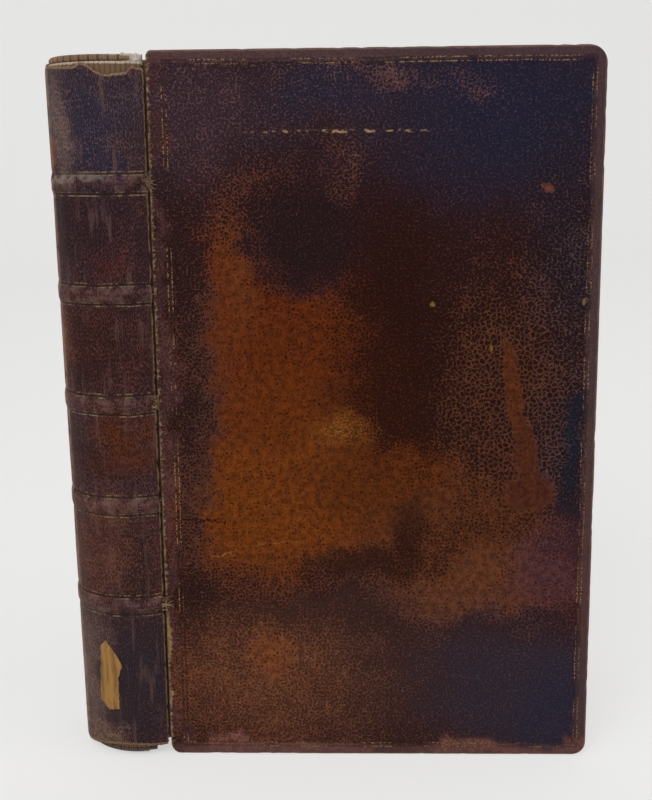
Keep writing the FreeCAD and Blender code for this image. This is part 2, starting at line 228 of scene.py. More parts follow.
class NodeSheet:
    """Writes the nodes of one material or world, with short calls for the common ones."""

    def __init__(self, owner: bpy.types.Material | bpy.types.World, flat: bool = False) -> None:
        """Start an empty sheet.

        Args:
            owner: The material or world whose nodes they are.
            flat: Places lie on a skin, as across and up, and not in space.
        """
        self.owner = owner
        self.dimensions = "2D" if flat else "3D"
        owner.use_nodes = True
        self.tree = owner.node_tree
        self.tree.nodes.clear()

    def node(self, kind: str, inputs: dict[int | str, object] | None = None,
             **settings: object) -> bpy.types.Node:
        """Add a node, set its options and feed its inputs.

        Args:
            kind: Blender's type of the node.
            inputs: Socket or value for each named or numbered input.
            settings: Options of the node.

        Returns:
            The new node.
        """
        made = self.tree.nodes.new(kind)
        for option, value in settings.items():
            setattr(made, option, value)
        for key, value in (inputs or {}).items():
            if isinstance(value, Socket):
                self.tree.links.new(value, made.inputs[key])
            else:
                made.inputs[key].default_value = value
        return made

    def math(self, how: str, *values: Socket | float) -> Socket:
        """Work out a number by an operation of the Math node."""
        return self.node("ShaderNodeMath", dict(enumerate(values)), operation=how).outputs[0]

    def times(self, first: Socket | float, second: Socket | float) -> Socket:
        """Multiply two numbers."""
        return self.math("MULTIPLY", first, second)

    def minus(self, first: Socket | float, second: Socket | float) -> Socket:
        """Take the second number from the first."""
        return self.math("SUBTRACT", first, second)

    def times_plus(self, value: Socket | float, factor: Socket | float,
                   added: Socket | float) -> Socket:
        """Multiply two numbers and add a third."""
        return self.math("MULTIPLY_ADD", value, factor, added)

    def vector(self, how: str, inputs: dict[int, object], output: str = "Vector") -> Socket:
        """Work out a place by an operation of the Vector Math node."""
        return self.node("ShaderNodeVectorMath", inputs, operation=how).outputs[output]

    def parts(self, place: Socket) -> Sequence[Socket]:
        """Split a place into its three numbers."""
        return self.node("ShaderNodeSeparateXYZ", {0: place}).outputs

    def rise(self, value: Socket, low: float | Socket, high: float | Socket) -> Socket:
        """Rise smoothly from 0 at low to 1 at high."""
        inputs = {0: value, 1: low, 2: high, 3: 0.0, 4: 1.0}
        return self.node("ShaderNodeMapRange", inputs, interpolation_type="SMOOTHSTEP").outputs[0]

    def line(self, value: Socket, place: float, half: float) -> Socket:
        """Give 1 on a fine line at a place, fading to 0 at half its width."""
        return self.rise(self.math("ABSOLUTE", self.minus(value, place)), half, half * 0.4)

    def mix(self, share: Socket | float, first: Socket | Colour, second: Socket | Colour) -> Socket:
        """Mix two colours.

        Args:
            share: Share of the second colour.
            first: Socket or display colour.
            second: Socket or display colour.

        Returns:
            The mixed colour.
        """
        inputs = {key: linear(value) if isinstance(value, tuple) else value
                  for key, value in ((0, share), (6, first), (7, second))}
        return self.node("ShaderNodeMix", inputs, data_type="RGBA").outputs[2]

    def lay(self, colour: Socket | Colour, share: Socket, most: float | Socket,
            over: Socket | Colour) -> Socket:
        """Lay a colour over another.

        Args:
            colour: The colour under it.
            share: Where it lies, from 0 to 1.
            most: How much it covers there.
            over: The colour that is laid over.

        Returns:
            The mixed colour.
        """
        return self.mix(self.times(share, most), colour, over)

    def noise(self, place: Socket, per_mm: float, detail: float = 3.0,
              roughness: float = 0.5) -> Socket:
        """Cloudy number around 0.5 that varies with the place."""
        inputs = {"Vector": place, "Scale": per_mm, "Detail": detail, "Roughness": roughness}
        return self.node("ShaderNodeTexNoise", inputs,
                         noise_dimensions=self.dimensions).outputs[0]

    def cracks(self, place: Socket, per_mm: float) -> Socket:
        """Distance from the nearest crack of a net of cells."""
        return self.node("ShaderNodeTexVoronoi", {"Vector": place, "Scale": per_mm},
                         voronoi_dimensions=self.dimensions,
                         feature="DISTANCE_TO_EDGE").outputs["Distance"]

    def drift(self, place: Socket, per_mm: float, reach: float) -> Socket:
        """Move places about by clouds.

        Args:
            place: The place.
            per_mm: Scale of the clouds.
            reach: Twice the distance by which they move it at most.

        Returns:
            The moved place.
        """
        cloud = self.node("ShaderNodeTexNoise", {"Vector": place, "Scale": per_mm, "Detail": 2.0},
                          noise_dimensions=self.dimensions)
        off = self.vector("SUBTRACT", {0: cloud.outputs[1], 1: (0.5, 0.5, 0.5)})
        return self.vector("MULTIPLY_ADD", {0: off, 1: (reach, reach, reach), 2: place})

    def stretched(self, place: Socket, scale: tuple[float, float, float]) -> Socket:
        """Scale a place along its three directions, for grain that runs one way."""
        return self.vector("MULTIPLY", {0: place, 1: scale})

    def darker(self, colour: Socket, share: float) -> Socket:
        """Scale a colour, down or up."""
        return self.vector("SCALE", {0: colour, 3: share})

    def object_place(self) -> Socket:
        """Place on the piece in metres, which moves with it."""
        return self.node("ShaderNodeTexCoord").outputs["Object"]

    def millimetres(self) -> Socket:
        """Place on the piece in millimetres."""
        return self.stretched(self.object_place(), (1000, 1000, 1000))

    def laid_flat(self, place: Socket, slope: float = 0.7) -> Socket:
        """Lay a place on a skin out flat.

        Args:
            place: Across, deep and up.
            slope: How far both move for each millimetre of depth, so that edges have a pattern.

        Returns:
            Across and up.
        """
        parts = self.parts(place)
        inputs = {axis: self.times_plus(parts[1], slope, parts[at])
                  for axis, at in ((0, 0), (1, 2))}
        return self.node("ShaderNodeCombineXYZ", inputs).outputs[0]

    def stored(self, name: str, output: str) -> Socket:
        """Read what the mesh stores under a name, as a Color or a Fac."""
        return self.node("ShaderNodeAttribute", attribute_name=name).outputs[output]

    def spot(self, place: Socket, spot: "Stain") -> Socket:
        """Give 1 inside a stain's ellipse, fading out over its edge.

        Args:
            place: Place in millimetres on the leather.
            spot: The stain.

        Returns:
            The share of the stain there.
        """
        inputs = {"Vector": place, "Location": (*spot.centre, 0),
                  "Rotation": (0, 0, math.radians(spot.turn)), "Scale": (*spot.half, 1e5)}
        local = self.node("ShaderNodeMapping", inputs, vector_type="TEXTURE").outputs[0]
        return self.rise(self.vector("LENGTH", {0: local}, "Value"), 1.0 + spot.soft,
                         1.0 - spot.soft)

    def seen(self) -> Socket:
        """Give 1 for what the camera sees directly or through a mirror or glass."""
        path = self.node("ShaderNodeLightPath").outputs
        share = self.math("MAXIMUM", path["Is Camera Ray"], path["Is Glossy Ray"])
        return self.math("MAXIMUM", share, path["Is Transmission Ray"])

    def seen_white(self, share: float) -> bpy.types.Material:
        """Add white light of its own where the camera, a mirror or glass sees the finish.

        Args:
            share: Share of the white in what they see.

        Returns:
            The material.
        """
        out = next(node for node in self.tree.nodes if node.type == "OUTPUT_MATERIAL")
        shader = out.inputs["Surface"].links[0].from_socket
        white = self.node("ShaderNodeEmission", {"Color": linear((255, 255, 255)), "Strength": 1.0})
        amount = self.times(self.seen(), share)
        both = self.node("ShaderNodeMixShader", {0: amount, 1: shader, 2: white.outputs[0]})
        self.tree.links.new(both.outputs[0], out.inputs["Surface"])
        return self.owner

    def finish(self, colour: Socket, roughness: float, height: Socket | None, relief_mm: float,
               gloss: float = 0.3, sheen: float = 0.0) -> bpy.types.Material:
        """Close the material with one shader.

        Args:
            colour: Base colour.
            roughness: Roughness.
            height: Relief in shares of relief_mm.
            relief_mm: Depth of the relief.
            gloss: Specular level.
            sheen: Weight of the cloth-like sheen.

        Returns:
            The material.
        """
        shader = self.node("ShaderNodeBsdfPrincipled", {
            "Base Color": colour, "Roughness": roughness, "Specular IOR Level": gloss,
            "Sheen Weight": sheen})
        if height is not None:
            bump = self.node("ShaderNodeBump", {"Height": height, "Distance": relief_mm * MM})
            self.tree.links.new(bump.outputs[0], shader.inputs["Normal"])
        self.node("ShaderNodeOutputMaterial", {"Surface": shader.outputs[0]})
        return self.owner


@dataclass(frozen=True)
class Stain:
    """One worn, darkened or tinted place on the leather; a few paint reflected light or a rim highlight into
    its colour.

    centre and half are in millimetres, across and up. crust is added to the share of dark
    surface that is left there, ground and dark recolour the two layers.
    """

    centre: tuple[float, float]
    half: tuple[float, float]
    crust: float = 0.0
    ground: Colour | None = None
    dark: Colour | None = None
    turn: float = 0.0
    soft: float = 0.6
    sharp: bool = False

    def share(self, across: float, up: float) -> float:
        """Share of the stain at a place on the leather.

        Args:
            across: Place across, in millimetres.
            up: Place up, in millimetres.

        Returns:
            1 inside the stain, fading to 0 over its edge.
        """
        dx, dz = across - self.centre[0], up - self.centre[1]
        turn = math.radians(self.turn)
        x = (dx * math.cos(turn) + dz * math.sin(turn)) / self.half[0]
        z = (dz * math.cos(turn) - dx * math.sin(turn)) / self.half[1]
        return smooth(math.hypot(x, z), 1.0 + self.soft, 1.0 - self.soft)


FRONT_STAINS = (
    # Painted reflection: the stains at (62, 184), (98, 184), (10, 182) and (48, 187) lay a reddish to
    # bluish-grey veil over the top of the cover, light reflected off the leather painted into its colour.
    Stain((62, 184), (78, 20), 0.08, (84, 60, 62), (42, 29, 37), soft=0.7),
    Stain((62, 150), (78, 24), 0.08, (72, 38, 34), (35, 16, 19), soft=0.7),
    Stain((98, 184), (34, 22), 0.10, (56, 44, 58), (28, 27, 45), soft=0.7),
    Stain((10, 182), (14, 14), 0.0, (88, 62, 64), (50, 34, 42), soft=0.7),
    Stain((48, 187), (12, 5), 0.10, None, (34, 30, 46), soft=0.7),
    Stain((60, 191), (14, 2.6), -0.25, (92, 62, 60), soft=0.45),
    Stain((87, 188), (9, 5), -0.16, (88, 60, 62), soft=0.7),
    Stain((114, 118), (14, 50), -0.02, (72, 54, 55), (27, 18, 26)),
    Stain((90, 112), (22, 32), -0.02, (84, 48, 30), (35, 12, 7)),
    Stain((66, 122), (14, 40), 0.16, (62, 25, 10), (33, 9, 4)),
    Stain((35, 119), (28, 24), -0.34, (92, 38, 6), (42, 14, 2), soft=0.5),
    Stain((32, 78), (36, 23), -0.40, (108, 52, 10), (54, 22, 2), soft=0.45),
    Stain((62, 83), (20, 12), -0.28, (90, 42, 8), (44, 16, 3), soft=0.5),
    Stain((36, 104), (22, 9), -0.20, (98, 44, 6)),
    Stain((62, 106), (14, 14), 0.10, (74, 30, 6), (38, 12, 3)),
    Stain((88, 68), (24, 14), -0.16, (86, 45, 22), (42, 18, 9)),
    Stain((92, 51), (28, 9), -0.33, (96, 53, 30), (54, 27, 14), turn=4, soft=0.45),
    Stain((24, 160), (13, 12), -0.10, (92, 50, 36), soft=0.7),
    Stain((21, 140), (6, 16), -0.20, (100, 50, 20), soft=0.7),
    Stain((15, 122), (7, 26), -0.16, (98, 44, 14), soft=0.8),
    Stain((49, 166), (5, 10), -0.18, (92, 54, 42), turn=-12, soft=0.7),
    Stain((42, 150), (14, 11), 0.18, (54, 32, 34), (31, 14, 16)),
    Stain((9, 100), (5, 60), 0.20, (80, 46, 34), (34, 18, 17)),
    Stain((56, 59), (15, 4), 0.22, (74, 38, 20), (46, 22, 12), turn=8),
    Stain((44, 46), (24, 4), 0.16, (80, 46, 34), (52, 30, 25), turn=3),
    Stain((64, 27), (30, 20), 0.06, (82, 52, 44), (52, 31, 28), soft=0.7),
    Stain((28, 24), (30, 20), -0.16, (108, 64, 42), (64, 37, 27)),
    Stain((30, 31), (7, 8), -0.22, (116, 64, 34)),
    # Painted reflection: this stain, the one at (112, 14) and the dark navy strip along the fore edge at
    # (117.5, 96) paint bluish light reflected off the bottom right and the fore edge into the leather's colour.
    Stain((101, 21), (25, 19), 0.10, (66, 50, 58), (45, 36, 46)),
    Stain((112, 14), (10, 12), 0.10, (60, 46, 58), (38, 35, 50)),
    Stain((117.5, 96), (2.6, 34), 0.16, (52, 42, 50), (22, 24, 34)),
    Stain((113, 57), (11, 13), 0.02, (82, 47, 48), (55, 29, 33)),
    Stain((104, 79.5), (6.5, 4.8), -0.5, (74, 35, 22), (60, 28, 16), soft=0.3, sharp=True),
    Stain((98.6, 108), (2.2, 15), -0.5, (86, 42, 19), (60, 28, 10), turn=8, soft=0.3, sharp=True),
    Stain((102.4, 91), (3.2, 10), -0.5, (78, 38, 20), (58, 26, 12), turn=10, soft=0.3, sharp=True),
    Stain((71, 72), (4, 10), 0.20, (64, 32, 14), (40, 17, 8)),
    Stain((51.5, 96.5), (7.5, 3.4), -0.10, (110, 60, 16), (74, 34, 6), soft=0.9),
    Stain((35, 96), (3.4, 0.7), 0.5, None, (48, 20, 5), soft=0.4, sharp=True),
    Stain((25, 84), (4.0, 0.6), 0.3, None, (60, 26, 6), turn=8, soft=0.5, sharp=True),
    Stain((2.0, 100), (2.2, 120), -0.05, (84, 52, 48), (58, 34, 36), soft=0.3),
    # Pale strip along the tail edge: partly rubbed leather, partly a painted rim highlight.
    Stain((60, 1.5), (76, 3.6), -0.1, (126, 80, 68), (100, 64, 56), soft=0.3),
    Stain((0.7, 36.5), (0.9, 6.5), -0.8, (148, 118, 78), (120, 92, 60), soft=0.4, sharp=True),
    Stain((0.6, 18.0), (0.7, 3.0), -0.8, (140, 114, 86), (120, 92, 60), soft=0.4, sharp=True),
    Stain((12, 71.5), (7.5, 0.35), 0.5, None, (36, 14, 10), turn=-6, soft=0.5, sharp=True),
    Stain((106.7, 163.3), (1.7, 1.0), -0.8, (96, 54, 44), turn=-20, soft=0.3, sharp=True),
    Stain((76.2, 132.7), (0.6, 0.7), -0.8, (122, 96, 36), soft=0.5, sharp=True),
    Stain((92.4, 120.2), (0.3, 0.9), -0.8, (112, 82, 34), soft=0.5, sharp=True),
    Stain((117.0, 133.4), (0.6, 0.9), -0.8, (110, 88, 48), soft=0.5, sharp=True),
    Stain((18.5, 61.9), (4.0, 0.22), -0.8, (134, 84, 34), turn=17, sharp=True),
    Stain((31.0, 64.7), (9.5, 0.16), -0.8, (124, 74, 28), turn=8, sharp=True),
    Stain((38.0, 71.0), (2.2, 0.14), -0.8, (122, 76, 32), turn=48, sharp=True),
)

BACK_STAINS = (
    Stain((60, 166), (72, 38), 0.08, (76, 48, 46), (38, 22, 27), soft=0.7),
    Stain((64, 100), (44, 46), -0.30, (92, 44, 14), (42, 16, 6)),
    Stain((34, 66), (26, 22), -0.18, (100, 50, 16), (50, 22, 8)),
    Stain((92, 130), (20, 24), -0.06, (88, 56, 38), (38, 16, 12)),
    Stain((98, 26), (28, 20), 0.10, (68, 50, 54), (44, 34, 42)),
    Stain((22, 168), (16, 16), -0.12, (92, 52, 38)),
    Stain((26, 22), (28, 17), -0.12, (104, 62, 44), (60, 35, 27)),
    Stain((116, 104), (6, 66), 0.14, (60, 46, 52), (30, 22, 32)),
    Stain((10, 110), (6, 70), 0.16, (80, 48, 36), (34, 19, 18)),
    Stain((70, 64), (18, 5), 0.24, None, (44, 22, 14), turn=-14),
    Stain((84, 84), (10, 3), 0.2, None, (40, 18, 10), turn=20),
    Stain((48, 132), (2.6, 1.2), -0.8, (104, 56, 26), turn=25, soft=0.4, sharp=True),
    Stain((80, 48), (12, 0.18), -0.8, (118, 72, 34), turn=-22, sharp=True),
)

SPINE_STAINS = (
    Stain((20, 184), (22, 14), 0.06, (90, 70, 74), (46, 39, 50)),
    Stain((14, 176), (6, 12), 0.06, None, (39, 36, 52)),
    Stain((27, 182), (5, 15), -0.16, (116, 92, 86), (76, 62, 64), soft=0.7),
    Stain((29.5, 174), (2.2, 3.6), -0.4, (120, 72, 50), turn=20, soft=0.5, sharp=True),
    Stain((14, 152), (20, 14), 0.06, (80, 50, 48), (40, 25, 30)),
    Stain((11, 143), (5, 5), -0.20, (84, 42, 34), soft=0.8),
    Stain((18, 120), (20, 13), 0.0, (84, 46, 38), (42, 23, 23)),
    Stain((27, 122), (4, 9), -0.20, (106, 62, 44), soft=0.7),
    Stain((9, 95), (7, 8), -0.20, (86, 44, 26), (50, 26, 18), soft=0.8),
    Stain((17, 88), (10, 6), -0.10, (76, 42, 34), (40, 22, 20), soft=0.8),
    Stain((20, 62), (20, 13), -0.12, (98, 60, 48), (58, 34, 30)),
    Stain((8, 60), (5, 10), 0.12, None, (44, 28, 28)),
    Stain((10, 24), (12, 20), 0.14, (70, 52, 54), (44, 34, 40)),
    Stain((24, 24), (7, 20), -0.10, (118, 92, 84), (80, 61, 58)),
    Stain((22, 5), (12, 4), -0.30, (110, 84, 70), soft=0.7),
)


@dataclass(frozen=True)
class LeatherFinish:
    """Old calf: a tan ground under a dark crust that cracks into a net and rubs off in places."""

    name: str
    stains: tuple[Stain, ...]
    ground: Colour = (84, 46, 32)
    dark: Colour = (37, 17, 15)
    crust: float = 0.60
    gloss: float = 0.06
    relief_mm: float = 0.11
    open_net: Stain | None = None
    wander: Outline = ((0.045, 6.0), (0.15, 4.0), (0.45, 1.8))
    net_per_mm: float = 0.95
    open_net_per_mm: float = 0.76
    least_crust: float = 0.22
    most_crust: float = 0.70
    gold: Colour = (146, 112, 76)
    spine_gold: Colour = (140, 116, 84)
    fillets: tuple[float, float] = (3.05, 4.15)

    def paint(self, mesh: bmesh.types.BMesh,
              where: Callable[[Vector], tuple[float, float]]) -> None:
        """Store the soft stains on the points of a skin.

        Args:
            mesh: The skin.
            where: Gives the place across and up, in millimetres, of a point.
        """
        layers = mesh.verts.layers
        ground, dark = layers.float_color.new("ground"), layers.float_color.new("dark")
        crust = layers.float.new("crust")
        soft = [stain for stain in self.stains if not stain.sharp]
        for vert in mesh.verts:
            across, up = where(vert.co)
            place = Vector((across, 0, up))
            place += sum((noise.noise_vector(place * per_mm) * reach
                          for per_mm, reach in self.wander), Vector((0, 0, 0)))
            colours = [Vector(linear(self.ground)), Vector(linear(self.dark))]
            left = self.crust - 0.25
            for stain in soft:
                share = stain.share(place.x, place.z)
                if share > 0:
                    left += share * stain.crust
                    for number, colour in enumerate((stain.ground, stain.dark)):
                        if colour:
                            colours[number] = colours[number].lerp(Vector(linear(colour)), share)
            vert[ground], vert[dark], vert[crust] = colours[0], colours[1], left

    def layers(self, sheet: NodeSheet, place: Socket, share: Socket | float,
               streaks: tuple[float, float, float] = (1.0, 1.0, 1.0)
               ) -> tuple[Socket, Socket, Socket]:
        """Lay the stains and the cracked crust over the ground.

        Args:
            sheet: The material's nodes.
            place: Place in millimetres, across and up.
            share: Number added to the share of crust.
            streaks: Stretch of the crust's grain.

        Returns:
            Colour, distance from the nearest crack and fine grain.
        """
        clouds = sheet.noise(place, 0.11, 5.0, 0.62)
        ground, dark = sheet.stored("ground", "Color"), sheet.stored("dark", "Color")
        crust = sheet.times_plus(clouds, 0.5, sheet.stored("crust", "Fac"))
        crust = sheet.math("ADD", crust, share)
        ragged = sheet.drift(sheet.drift(place, 0.25, 2.2), 1.3, 1.1)
        for stain in self.stains:
            if stain.sharp:
                mask = sheet.spot(ragged, stain)
                crust = sheet.times_plus(mask, stain.crust, crust)
                ground = sheet.mix(mask, ground, stain.ground) if stain.ground else ground
                dark = sheet.mix(mask, dark, stain.dark) if stain.dark else dark
        crust = sheet.math("MINIMUM", sheet.math("MAXIMUM", crust, self.least_crust),
                           self.most_crust)
        grain_place = sheet.drift(sheet.stretched(place, streaks), 0.7, 1.1)
        cell = sheet.cracks(grain_place, self.net_per_mm)
        pores = sheet.noise(sheet.stretched(place, streaks), 1.5, 4.0, 0.62)
        depth, faint = 0.95, pores
        if self.open_net:
            open_net = sheet.spot(ragged, self.open_net)
            wide = sheet.cracks(grain_place, self.open_net_per_mm)
            cell = sheet.times_plus(sheet.minus(wide, cell), open_net, cell)
            depth = sheet.times_plus(open_net, 0.6, 0.95)
            faint = sheet.times(pores, sheet.times_plus(open_net, -0.22, 1.0))
        low = sheet.times_plus(crust, -0.74, 0.95)
        left = sheet.rise(sheet.times_plus(cell, depth, faint), low, sheet.math("ADD", low, 0.16))
        mottle = sheet.noise(place, 0.55, 5.0, 0.7)
        ground = sheet.lay(ground, sheet.rise(mottle, 0.42, 0.68), 0.75, sheet.darker(ground, 0.42))
        ground = sheet.lay(ground, sheet.rise(mottle, 0.48, 0.30), 0.45, sheet.darker(ground, 1.5))
        dark = sheet.lay(dark, sheet.rise(pores, 0.40, 0.70), 0.5, sheet.darker(dark, 0.55))
        torn = sheet.times_plus(mottle, 0.8, sheet.stored("raw", "Fac"))
        raw = sheet.mix(sheet.rise(pores, 0.35, 0.65), (144, 114, 86), (104, 76, 58))
        colour = sheet.mix(sheet.rise(torn, 0.62, 1.0), sheet.mix(left, ground, dark), raw)
        return colour, cell, pores

    def close(self, sheet: NodeSheet, colour: Socket, cell: Socket, grain: Socket,
              groove: Socket) -> bpy.types.Material:
        """Give the layers their relief and gloss.

        Args:
            sheet: The material's nodes.
            colour: Colour of the leather.
            cell: Distance from the nearest crack.
            grain: Fine grain.
            groove: Depth of tooled lines, in shares of the relief.

        Returns:
            The material.
        """
        relief = sheet.times_plus(sheet.rise(cell, 0.0, 0.16), 0.5, sheet.times(grain, 0.7))
        return sheet.finish(colour, 0.55, sheet.minus(relief, groove), self.relief_mm, self.gloss)

    def cover_material(self, form: BookForm, cover: Cover) -> bpy.types.Material:
        """Leather of a cover, with its worn gilt fillet.

        Args:
            form: Sizes of the book.
            cover: Which cover it is for.

        Returns:
            The material.
        """
        sheet = NodeSheet(bpy.data.materials.new(self.name), True)
        solid = cover_place(sheet, form, cover)
        across, _, up = sheet.parts(solid)
        place = sheet.laid_flat(solid)
        edge = sheet.math("MINIMUM", sheet.minus(form.cover_height, up), up)
        edge = sheet.math("MINIMUM", edge, sheet.minus(form.cover_width, across))
        inside = sheet.math("MINIMUM", edge, sheet.minus(across, 1.5))
        ragged = sheet.noise(place, 0.25, 4.0, 0.6)
        # Painted reflection: a band along the head, tail and fore edge loses crust and is greyed towards purple
        # (80, 58, 58), bluish light reflected off the edges painted into the colour.
        painted_edge_reflection = sheet.rise(sheet.times_plus(ragged, -2.4, edge), 2.9, 1.2)
        colour, cell, grain = self.layers(sheet, place, sheet.times(painted_edge_reflection, -0.22))
        colour = sheet.lay(colour, painted_edge_reflection, 0.55, (80, 58, 58))
        fine = sheet.drift(place, 0.5, 0.35)
        wobble = sheet.times_plus(sheet.noise(fine, 0.06, 2.0), 0.5, inside)
        lines = sheet.math("MAXIMUM", *(sheet.line(wobble, at, 0.26) for at in self.fillets))
        dots = sheet.rise(sheet.noise(place, 1.7, 2.0, 0.5), 0.46, 0.56)
        stretch = sheet.rise(sheet.noise(place, 0.085, 3.0, 0.6), 0.44, 0.58)
        gilt = sheet.times(sheet.times(lines, dots), stretch)
        colour = sheet.lay(colour, lines, 0.45, (44, 27, 22))
        colour = sheet.lay(colour, gilt, 0.85, self.gold)
        if cover is Cover.FRONT:
            colour = self.gold_scratch(sheet, place, colour)
        # Pale rim along the edges: partly rubbed leather, partly a painted rim highlight.
        worn = sheet.rise(sheet.times_plus(ragged, -0.7, edge), 0.55, -0.1)
        colour = sheet.lay(colour, worn, 0.75, (122, 96, 84))
        if cover is Cover.FRONT:
            fray = sheet.noise(place, 0.9, 4.0, 0.7)
            joint = sheet.rise(sheet.times_plus(fray, -2.6, across), -0.15, -0.8)
            tan = sheet.mix(sheet.rise(fray, 0.45, 0.62), (98, 74, 56), (150, 122, 90))
            colour = sheet.lay(colour, joint, 0.85, tan)
        return self.close(sheet, colour, cell, grain, sheet.times(lines, 1.3))

    def gold_scratch(self, sheet: NodeSheet, place: Socket, colour: Socket) -> Socket:
        """Lay the broken pale line and the pale flecks of the rubbed middle over the cover.

        Args:
            sheet: The material's nodes.
            place: Place in millimetres, across and up.
            colour: Colour of the leather.

        Returns:
            The colour with both.
        """
        across = sheet.stretched(place, (0.5, 1.0, 1.0))
        dashes = sheet.rise(sheet.noise(across, 0.9, 3.0), 0.50, 0.60)
        streak = sheet.spot(sheet.drift(place, 0.4, 0.5), Stain((53, 178.6), (22, 0.42), soft=0.5))
        colour = sheet.lay(colour, dashes, streak, (150, 118, 84))
        rubbed = sheet.spot(sheet.drift(place, 0.3, 3.0), Stain((52, 97.5), (7, 3.4), soft=0.9))
        flecks = sheet.rise(sheet.noise(place, 1.6, 4.0, 0.7), 0.56, 0.66)
        return sheet.lay(colour, flecks, rubbed, (150, 104, 44))

    def spine_material(self, form: BookForm) -> bpy.types.Material:
        """Leather of the spine, with worn bands that carry a painted highlight, and tooled lines beside them.

        Args:
            form: Sizes of the book.

        Returns:
            The material.
        """
        sheet = NodeSheet(bpy.data.materials.new(self.name), True)
        solid, arc, up = spine_place(sheet, form)
        place = sheet.laid_flat(sheet.stretched(solid, (1.0, 0.0, 1.0)))
        offs = [sheet.math("ABSOLUTE", sheet.minus(up, band)) for band in form.bands]
        near = reduce(lambda first, second: sheet.math("MINIMUM", first, second), offs)
        share = sheet.times(sheet.rise(near, 2.2, 0.6), -0.12)
        colour, cell, grain = self.layers(sheet, place, share, (1.7, 0.8, 1.0))
        streaks = sheet.noise(sheet.stretched(place, (1.0, 0.12, 1.0)), 0.5, 4.0, 0.6)
        colour = sheet.lay(colour, sheet.rise(streaks, 0.55, 0.75), 0.4, (104, 78, 70))
        rub = sheet.noise(place, 0.3, 4.0, 0.65)
        # Pale rubbed crest of each band: partly worn leather, partly a painted highlight on the raised band.
        ridge = sheet.line(sheet.minus(near, sheet.times(rub, 1.6)), 0.4, 1.5)
        worn = sheet.times(ridge, sheet.rise(rub, 0.40, 0.66))
        colour = sheet.lay(colour, worn, 0.34, (126, 100, 94))
        # Painted highlight: whitish light on the upper side of the top band.
        painted_band_highlight = sheet.spot(sheet.drift(place, 0.5, 2.4), Stain((24, 167.0), (9, 1.2), soft=0.9))
        colour = sheet.lay(colour, painted_band_highlight, sheet.rise(rub, 0.38, 0.6), (128, 113, 104))
        wobble = sheet.times_plus(sheet.noise(place, 0.12, 2.0), 0.5, near)
        lines = sheet.math("MAXIMUM", sheet.line(wobble, 3.35, 0.26),
                           sheet.line(wobble, 2.45, 0.18))
        kept = sheet.rise(sheet.noise(place, 0.3, 4.0, 0.7), 0.40, 0.60)
        kept = sheet.times(kept, sheet.rise(arc, 35.0, 26.0))
        kept = sheet.times(kept, sheet.rise(sheet.noise(place, 1.1, 3.0), 0.34, 0.58))
        colour = sheet.lay(colour, sheet.line(wobble, 2.9, 0.42), 0.5, (28, 20, 20))
        colour = sheet.lay(colour, sheet.times(lines, kept), 0.8, self.spine_gold)
        # Pale strip along the crown towards the back of the spine: partly rubbed leather, partly a painted
        # highlight where the spine turns away at its silhouette.
        crown = sheet.times(sheet.line(arc, 33.4, 4.6), sheet.rise(rub, 0.28, 0.6))
        colour = sheet.lay(colour, crown, 0.7, (148, 113, 92))
        joint = sheet.rise(sheet.times_plus(rub, -1.2, arc), 0.3, -0.4)
        colour = sheet.lay(colour, joint, 0.7, (116, 90, 72))
        groove = sheet.times(sheet.line(wobble, 2.85, 0.7), 1.6)
        return self.close(sheet, colour, cell, grain, groove)


def cover_place(sheet: NodeSheet, form: BookForm, cover: Cover) -> Socket:
    """Place on a cover in millimetres: from the joint, from its outer face and over the tail.

    Args:
        sheet: The material's nodes.
        form: Sizes of the book.
        cover: Which cover it is.

    Returns:
        The place.
    """
    if cover is Cover.FRONT:
        off = Matrix.Rotation(form.front_angle, 3, "Z") @ -form.origin
        inputs = {"Location": off, "Rotation": (0, 0, form.front_angle),
                  "Scale": (1000, 1000, 1000)}
    else:
        joint = form.back_origin
        inputs = {"Location": (-joint.x, joint.y, 0), "Scale": (1000, -1000, 1000)}
    inputs["Vector"] = sheet.object_place()
    return sheet.node("ShaderNodeMapping", inputs).outputs[0]


def spine_place(sheet: NodeSheet, form: BookForm) -> tuple[Socket, Socket, Socket]:
    """Place on the spine, unrolled: round from the front joint, deep and up.

    Args:
        sheet: The material's nodes.
        form: Sizes of the book.

    Returns:
        The place, its part round the spine and its height.
    """
    x, y, up = sheet.parts(sheet.millimetres())
    centre, radius, half = form.circle(form.cover_height / 2)
    dx, dy = sheet.minus(x, centre.x), sheet.minus(y, centre.y)
    out, side = (sheet.math("ADD", sheet.times(dx, way.x), sheet.times(dy, way.y))
                 for way in (form.outward, form.along))
    arc = sheet.times_plus(sheet.math("ARCTAN2", side, out), radius, half * radius)
    deep = sheet.math("SQRT", sheet.math("ADD", sheet.times(dx, dx), sheet.times(dy, dy)))
    return sheet.node("ShaderNodeCombineXYZ", {0: arc, 1: deep, 2: up}).outputs[0], arc, up


